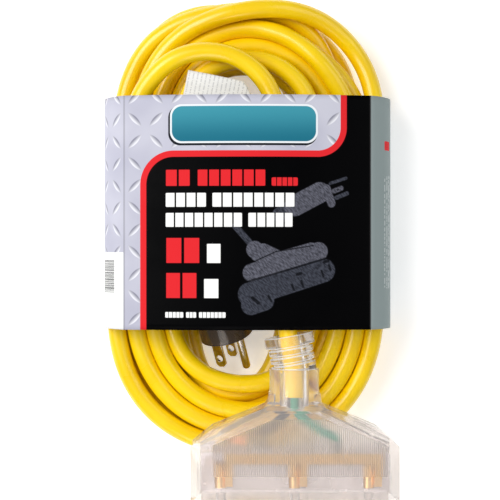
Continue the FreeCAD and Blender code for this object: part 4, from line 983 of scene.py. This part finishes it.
def length_setting(name, description, default, precision=2):
    """A length in metres."""
    return bpy.props.FloatProperty(
        name=name, description=description, default=default, unit="LENGTH", precision=precision)


class StageLook(bpy.types.PropertyGroup):
    """The floor, the lights and the camera's height."""

    floor: colour_setting("Floor", "Colour of the pale floor", 250, 250, 250)
    power: bpy.props.FloatProperty(
        name="Key light", description="Power of the largest light", default=12.0, min=0.0, unit="POWER")
    height: length_setting("Camera height", "Height of the camera over the floor", 0.804)


class CordLook(bpy.types.PropertyGroup):
    """The cord's jacket."""

    jacket: colour_setting("Jacket", "Colour of the jacket", 255, 218, 0)
    jacket_deep: colour_setting(
        "Deep jacket", "Colour where the jacket is a little darker", 248, 206, 0)
    twist_pitch: length_setting(
        "Twist pitch", "Length of one turn of the cores under the jacket", 0.09)
    twist_depth: length_setting(
        "Twist depth", "How far the cores stand out under the jacket", 0.00012, precision=5)


class SleeveLook(bpy.types.PropertyGroup):
    """The inks of the printed sleeve."""

    red: colour_setting("Red", "Red ink", 228, 44, 50)
    black: colour_setting("Black", "Black ink", 3, 3, 4)
    teal: colour_setting("Teal", "Teal ink of the badge", 34, 112, 134)
    silver: colour_setting("Silver", "Ground of the tread plate", 202, 202, 215)
    grey: colour_setting("Grey", "Ink of the right side panel", 150, 163, 163)


class TapLook(bpy.types.PropertyGroup):
    """The clear outlet block and the smoky plug."""

    clear: colour_setting("Clear", "Colour of the milky clear moulding", 233, 228, 225)
    rib_pitch: length_setting(
        "Rib pitch", "Distance between the grip panel's fine ribs", 0.0011, precision=5)
    smoke: colour_setting("Smoke", "Colour of the plug's smoky moulding", 150, 130, 108)


class WholeLook(bpy.types.PropertyGroup):
    """All the groups of settings."""

    stage: bpy.props.PointerProperty(type=StageLook)
    cord: bpy.props.PointerProperty(type=CordLook)
    sleeve: bpy.props.PointerProperty(type=SleeveLook)
    tap: bpy.props.PointerProperty(type=TapLook)


# ---------------------------------------------------------------- the operators


class CORDSET_OT_stage(bpy.types.Operator):
    """Sets up the floor, the soft lights and the camera straight above"""

    bl_idname = "cordset.stage"
    bl_label = "Set the stage"

    def execute(self, context):
        look = context.scene.cordset.stage
        scene = context.scene
        data = bpy.data.cameras.new("camera")
        data.lens = 100
        data.sensor_width = 36
        camera = bpy.data.objects.new("camera", data)
        camera.location = (0.0014, -0.0203, look.height)
        scene.collection.objects.link(camera)
        scene.camera = camera

        floor_half, floor_drop, floor_glow, room_light = 3.0, 0.1 * MM, 0.38, 0.27
        fill_share, low_share, cloud_share = 0.28, 0.35, 0.98
        span = np.linspace(-floor_half, floor_half, 3)
        across, along = np.meshgrid(span, span, indexing="xy")
        points = np.stack((across, along, np.full_like(across, -floor_drop)), -1)
        floor = bpy.data.objects.new("floor", grid_mesh("floor", points, points[:, :, :2]))
        material, graph, shader = new_material("floor")
        cloud = graph.noise(graph.place(), 3.0)
        pale = tuple(look.floor)
        darker = tuple(cloud_share * part for part in pale)
        graph.feed(shader.inputs["Base Color"], graph.mix(cloud, pale, darker))
        skin(graph, shader, 200.0, 0.00001, 0.6, 0.7)
        shader.inputs["Emission Color"].default_value = (1.0, 1.0, 1.0, 1.0)
        shader.inputs["Emission Strength"].default_value = floor_glow
        floor.data.materials.append(material)
        scene.collection.objects.link(floor)

        world = bpy.data.worlds.new("studio")
        world.use_nodes = True
        sky = world.node_tree.nodes["Background"]
        sky.inputs["Color"].default_value = (1.0, 1.0, 1.0, 1.0)
        sky.inputs["Strength"].default_value = room_light
        scene.world = world
        lights = (
            ("key", (-0.70, 0.30, 1.0), 0.9, look.power),
            ("fill", (0.9, 0.3, 0.9), 1.0, look.power * fill_share),
            ("low", (-0.1, -1.0, 0.7), 0.8, look.power * low_share))
        for name, spot, size, power in lights:
            lamp = bpy.data.lights.new(name, "AREA")
            lamp.shape = "DISK"
            lamp.size = size
            lamp.energy = power
            obj = bpy.data.objects.new(name, lamp)
            obj.location = spot
            aim = -np.array(spot) / np.linalg.norm(spot)
            obj.rotation_euler = (math.acos(-aim[2]), 0.0, math.atan2(aim[1], aim[0]) - math.pi / 2)
            scene.collection.objects.link(obj)
        scene.view_settings.view_transform = "Standard"
        return {"FINISHED"}


class CORDSET_OT_cord(bpy.types.Operator):
    """Lays the whole cord as one smooth curve: the block's lead, the hank and the plug's lead"""

    bl_idname = "cordset.cord"
    bl_label = "Lay the cord"

    def execute(self, context):
        tap_points = [JACKET_END, NECK_END, RELIEF_TIP, *TAP_ROUTE]
        plug_points = [PLUG_JACKET_END, PLUG_RELIEF_TIP, *PLUG_ROUTE]
        wound = Hank().settle(points_along(tap_points, STEP), points_along(plug_points, STEP))
        points = np.vstack((tap_points, wound, plug_points[::-1]))
        data = route_curve("cord", points)
        data.resolution_u = 8
        data.bevel_depth = CORD_RADIUS
        data.bevel_resolution = 6
        data.use_fill_caps = True
        data.materials.append(jacket_material(context.scene.cordset.cord))
        cord = bpy.data.objects.new("cord", data)
        own_piece(cord, "cord_set", "yellow_jacket", "cord_coil", "tap_lead", "plug_lead")
        return {"FINISHED"}


class CORDSET_OT_sleeve(bpy.types.Operator):
    """Makes the printed card sleeve round the hank"""

    bl_idname = "cordset.sleeve"
    bl_label = "Make the sleeve"

    def outline(self):
        """The section, anticlockwise from the left crease's foot seen from the open bottom, and how
        far round each point is: two bulging side arcs, a crowned front arc and a flat back."""
        half_side = math.asin(SLEEVE_DEPTH / 2 / SIDE_RADIUS)
        half_front = math.asin(SLEEVE_HALF_WIDTH / FRONT_RADIUS)
        side_centre = SLEEVE_HALF_WIDTH + SLEEVE_BULGE - SIDE_RADIUS
        front_centre = SLEEVE_DEPTH + SLEEVE_CROWN - FRONT_RADIUS
        turn = np.linspace(-half_side, half_side, 25)[:-1]
        left = np.column_stack((-side_centre - SIDE_RADIUS * np.cos(turn),
                                SLEEVE_DEPTH / 2 + SIDE_RADIUS * np.sin(turn)))
        sweep = np.linspace(-half_front, half_front, 61)[:-1]
        front = np.column_stack((FRONT_RADIUS * np.sin(sweep), front_centre + FRONT_RADIUS * np.cos(sweep)))
        right = np.column_stack((side_centre + SIDE_RADIUS * np.cos(turn),
                                 SLEEVE_DEPTH / 2 - SIDE_RADIUS * np.sin(turn)))
        share = np.linspace(SLEEVE_HALF_WIDTH, -SLEEVE_HALF_WIDTH, 41)[:-1]
        back = np.column_stack((share, np.zeros_like(share)))
        section = np.concatenate((left, front, right, back))
        runs = ((SIDE_RUN, len(turn)), (FRONT_RUN, len(sweep)), (SIDE_RUN, len(turn)),
                (2 * SLEEVE_HALF_WIDTH, len(share)))
        around, start = [], -SIDE_RUN
        for run, count in runs:
            around.append(start + run * np.arange(count) / count)
            start += run
        return section, np.append(np.concatenate(around), start)

    def execute(self, context):
        section, around = self.outline()
        heights = np.linspace(-SLEEVE_HALF_HEIGHT, SLEEVE_HALF_HEIGHT, 41)
        columns = len(section)
        points = np.empty((len(heights), columns, 3))
        points[:, :, 0] = section[None, :, 0]
        points[:, :, 1] = heights[:, None]
        points[:, :, 2] = section[None, :, 1]
        uv = np.empty((len(heights), columns + 1, 2))
        uv[:, :, 0] = around[None, :] / MM
        uv[:, :, 1] = (heights[:, None] + SLEEVE_HALF_HEIGHT) / MM
        mesh = grid_mesh("card sleeve", points, uv, closed=True)
        smooth_by_angle(mesh, 30.0)
        mesh.materials.append(sleeve_material(context.scene.cordset.sleeve))
        mesh.materials.append(board_material())
        sleeve = bpy.data.objects.new("card_sleeve", mesh)
        wall = sleeve.modifiers.new("card", "SOLIDIFY")
        wall.thickness = CARD
        wall.offset = -1.0
        wall.material_offset = 1
        wall.material_offset_rim = 1
        own_piece(sleeve, "sleeve", "printed_card", "sleeve_card")
        return {"FINISHED"}


class CORDSET_OT_tag(bpy.types.Operator):
    """Makes the folded paper tag on the plug's lead"""

    bl_idname = "cordset.tag"
    bl_label = "Make the tag"

    def execute(self, context):
        _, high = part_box("cord_tag")
        run, rise = np.meshgrid(np.linspace(0.0, 1.0, 25), np.linspace(0.0, 1.0, 31), indexing="xy")
        width, height, lean = 37 * MM, 52 * MM, math.radians(-11.5)
        cut_start, cut_depth = 0.84, 7 * MM
        swell, droop, lift, slope = 1.6 * MM, 1.2 * MM, 0.4 * MM, 1.5 * MM
        corner = np.array((-0.0425, 0.0265))
        clip = np.clip((run - cut_start) / (1 - cut_start), 0.0, 1.0) * cut_depth
        out = run * width
        up = rise * (height - clip)
        curl = swell * np.sin(math.pi * run) * rise - droop * run ** 2
        points = np.stack((
            corner[0] + out * math.cos(lean) - up * math.sin(lean),
            corner[1] + out * math.sin(lean) + up * math.cos(lean),
            high[2] + lift + curl - slope * rise), -1)
        uv = np.stack((out / MM, up / MM), -1)
        mesh = grid_mesh("paper tag", points, uv)
        smooth_by_angle(mesh, 60.0)
        mesh.materials.append(paper_material())
        tag = bpy.data.objects.new("paper_tag", mesh)
        sheet = tag.modifiers.new("paper", "SOLIDIFY")
        sheet.thickness = 0.3 * MM
        sheet.offset = 0.0
        own_piece(tag, "cord_set", "tag_paper", "cord_tag")
        wrap = bpy.data.objects.new("tag_wrap", self.wrap())
        wrap.data.materials.append(mesh.materials[0])
        strip = wrap.modifiers.new("paper", "SOLIDIFY")
        strip.thickness = 0.2 * MM
        own_piece(wrap, "cord_set", "tag_paper")
        return {"FINISHED"}

    def wrap(self):
        """The strip glued round the lead: a short tube, lapped at its seam, along the lead's run."""
        first, second = np.array(PLUG_ROUTE[0]), np.array(PLUG_ROUTE[1])
        axis = (second - first) / np.linalg.norm(second - first)
        side = np.cross(axis, (0.0, 0.0, 1.0))
        side /= np.linalg.norm(side)
        up = np.cross(side, axis)
        length, turns, gap, lap = 9 * MM, 1.06, 0.25 * MM, 0.35 * MM
        share, turn = np.meshgrid(np.linspace(-0.5, 0.5, 7), np.linspace(0.0, math.tau * turns, 41),
                                  indexing="ij")
        radius = CORD_RADIUS + gap + lap * turn / math.tau
        points = (first + second) / 2 + share[:, :, None] * length * axis
        points = points + (radius * np.sin(turn))[:, :, None] * side
        points = points + (radius * np.cos(turn))[:, :, None] * up
        uv = np.stack((radius * turn / MM, share * length / MM), -1)
        mesh = grid_mesh("tag wrap", points, uv)
        smooth_by_angle(mesh, 60.0)
        return mesh


class CORDSET_OT_tap(bpy.types.Operator):
    """Finishes the clear outlet block, its inner face and its strain relief"""

    bl_idname = "cordset.tap"
    bl_label = "Finish the outlet block"

    def execute(self, context):
        look = context.scene.cordset.tap
        low, high = (np.array(corner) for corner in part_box("tap_housing"))
        ribs = {
            "pitch": look.rib_pitch, "depth": 0.2 * MM, "frost": 0.3, "level": high[2] - 1 * MM,
            "low": low[1] + 14.3 * MM, "bend": low[1] + 31.0 * MM, "high": low[1] + 44.8 * MM,
            "left": (low[0] + 12.1 * MM, low[0] + 44.7 * MM),
            "right": (low[0] + 105.2 * MM, low[0] + 71.5 * MM)}
        tint, white = tuple(look.clear), linear(250, 250, 250)
        clear = clear_material("clear block", tint, 0.14, 0.22, haze=0.16, ribs=ribs)
        plain = clear_material("clear moulding", tint, 0.08, 0.16, haze=0.08)
        # milky and pale, in white, are the finishes of the rounded edges: painted highlights along the
        # edges of the relief and the block
        milky = clear_material("clear moulding's painted edge highlight", white, 0.3, 0.4, haze=0.7)
        pale = clear_material("clear block's painted edge highlight", white, 0.25, 0.35, haze=0.4)
        finished_copy("tap_housing", "outlet_block", "clear_moulding", 0.35 * MM, clear, pale)
        finished_copy("tap_strain_relief", "outlet_relief", "clear_moulding", 0.35 * MM, plain, milky)
        finished_copy("tap_face", "outlet_face", "clear_face", 0.25 * MM, plain)
        return {"FINISHED"}


class CORDSET_OT_plug(bpy.types.Operator):
    """Finishes the smoky plug, its strain relief and its prongs"""

    bl_idname = "cordset.plug"
    bl_label = "Finish the plug"

    def execute(self, context):
        look = context.scene.cordset.tap
        smoke = clear_material("smoky moulding", tuple(look.smoke), 0.10, 0.20, haze=0.1)
        for node, name in (("plug_body", "smoky_plug"), ("plug_strain_relief", "smoky_relief")):
            finished_copy(node, name, "smoke_moulding", 0.0, smoke)
        steel = metal_material("plated prong", linear(214, 210, 202), 0.2, (1.0, 0.1, 0.3))
        for node, name in (("line_blade", "line_prong"), ("neutral_blade", "neutral_prong"),
                           ("ground_pin", "ground_prong")):
            finished_copy(node, name, "prong_metal", 0.15 * MM, steel)
        return {"FINISHED"}


class CORDSET_OT_inner_parts(bpy.types.Operator):
    """Gives the contacts, wires, lamps and carrier their finishes"""

    bl_idname = "cordset.inner_parts"
    bl_label = "Finish the inner parts"

    def execute(self, context):
        finishes = {
            "brass_strip": metal_material("brass strip", linear(252, 214, 150), 0.42, (0.1, 1.0, 1.0)),
            "tinned_terminal": metal_material("tinned terminal", linear(208, 206, 200), 0.3, (1, 1, 0.2)),
            "green_insulation": plastic_material("green insulation", linear(0, 150, 120)),
            "black_insulation": plastic_material("black insulation", linear(26, 26, 28)),
            "white_insulation": plastic_material("white insulation", linear(238, 238, 232)),
            "carrier_plastic": clear_material(
                "contact carrier", linear(232, 228, 230), 0.2, 0.3, haze=0.4),
            "bridge_plastic": plastic_material("plug bridge", linear(70, 66, 62), 0.3, 0.45),
            "lamp_glass": lamp_material(),
            "resistor_coat": banded_material(),
        }
        for node in NODES.values():
            slot = node.material_slots[0].name.split(".")[0]
            if slot in finishes:
                node.material_slots[0].material = finishes[slot]
        return {"FINISHED"}


class CORDSET_OT_cord_ends(bpy.types.Operator):
    bl_idname = "cordset.cord_ends"
    bl_label = "Declare the cord"

    def execute(self, context):
        return {"FINISHED"}


class CORDSET_PT_panel(bpy.types.Panel):
    """Lists the pieces and their settings in the sidebar"""

    bl_label = "Extension Cord"
    bl_idname = "CORDSET_PT_panel"
    bl_space_type = "VIEW_3D"
    bl_region_type = "UI"
    bl_category = "Extension Cord"

    def draw(self, context):
        look = context.scene.cordset
        for operator in OPERATORS:
            self.layout.operator(operator.bl_idname)
        for label, group in (("Stage", look.stage), ("Cord", look.cord), ("Sleeve", look.sleeve),
                             ("Block and plug", look.tap)):
            box = self.layout.box()
            box.label(text=label)
            for key in type(group).__annotations__:
                box.prop(group, key)


LOOKS = (StageLook, CordLook, SleeveLook, TapLook, WholeLook)
OPERATORS = (CORDSET_OT_stage, CORDSET_OT_cord, CORDSET_OT_sleeve, CORDSET_OT_tag, CORDSET_OT_tap,
             CORDSET_OT_plug, CORDSET_OT_inner_parts, CORDSET_OT_cord_ends)


def register():
    """Registers every class and hangs the settings on the scene."""
    for kind in (*LOOKS, *OPERATORS, CORDSET_PT_panel):
        bpy.utils.register_class(kind)
    bpy.types.Scene.cordset = bpy.props.PointerProperty(type=WholeLook)


def unregister():
    """Takes the settings and the classes away again."""
    del bpy.types.Scene.cordset
    for kind in reversed((*LOOKS, *OPERATORS, CORDSET_PT_panel)):
        bpy.utils.unregister_class(kind)


def main():
    """Builds everything in order."""
    register()
    bpy.ops.cordset.stage()
    bpy.ops.cordset.cord()
    bpy.ops.cordset.sleeve()
    bpy.ops.cordset.tag()
    bpy.ops.cordset.tap()
    bpy.ops.cordset.plug()
    bpy.ops.cordset.inner_parts()
    bpy.ops.cordset.cord_ends()


if __name__ == "__main__":
    main()
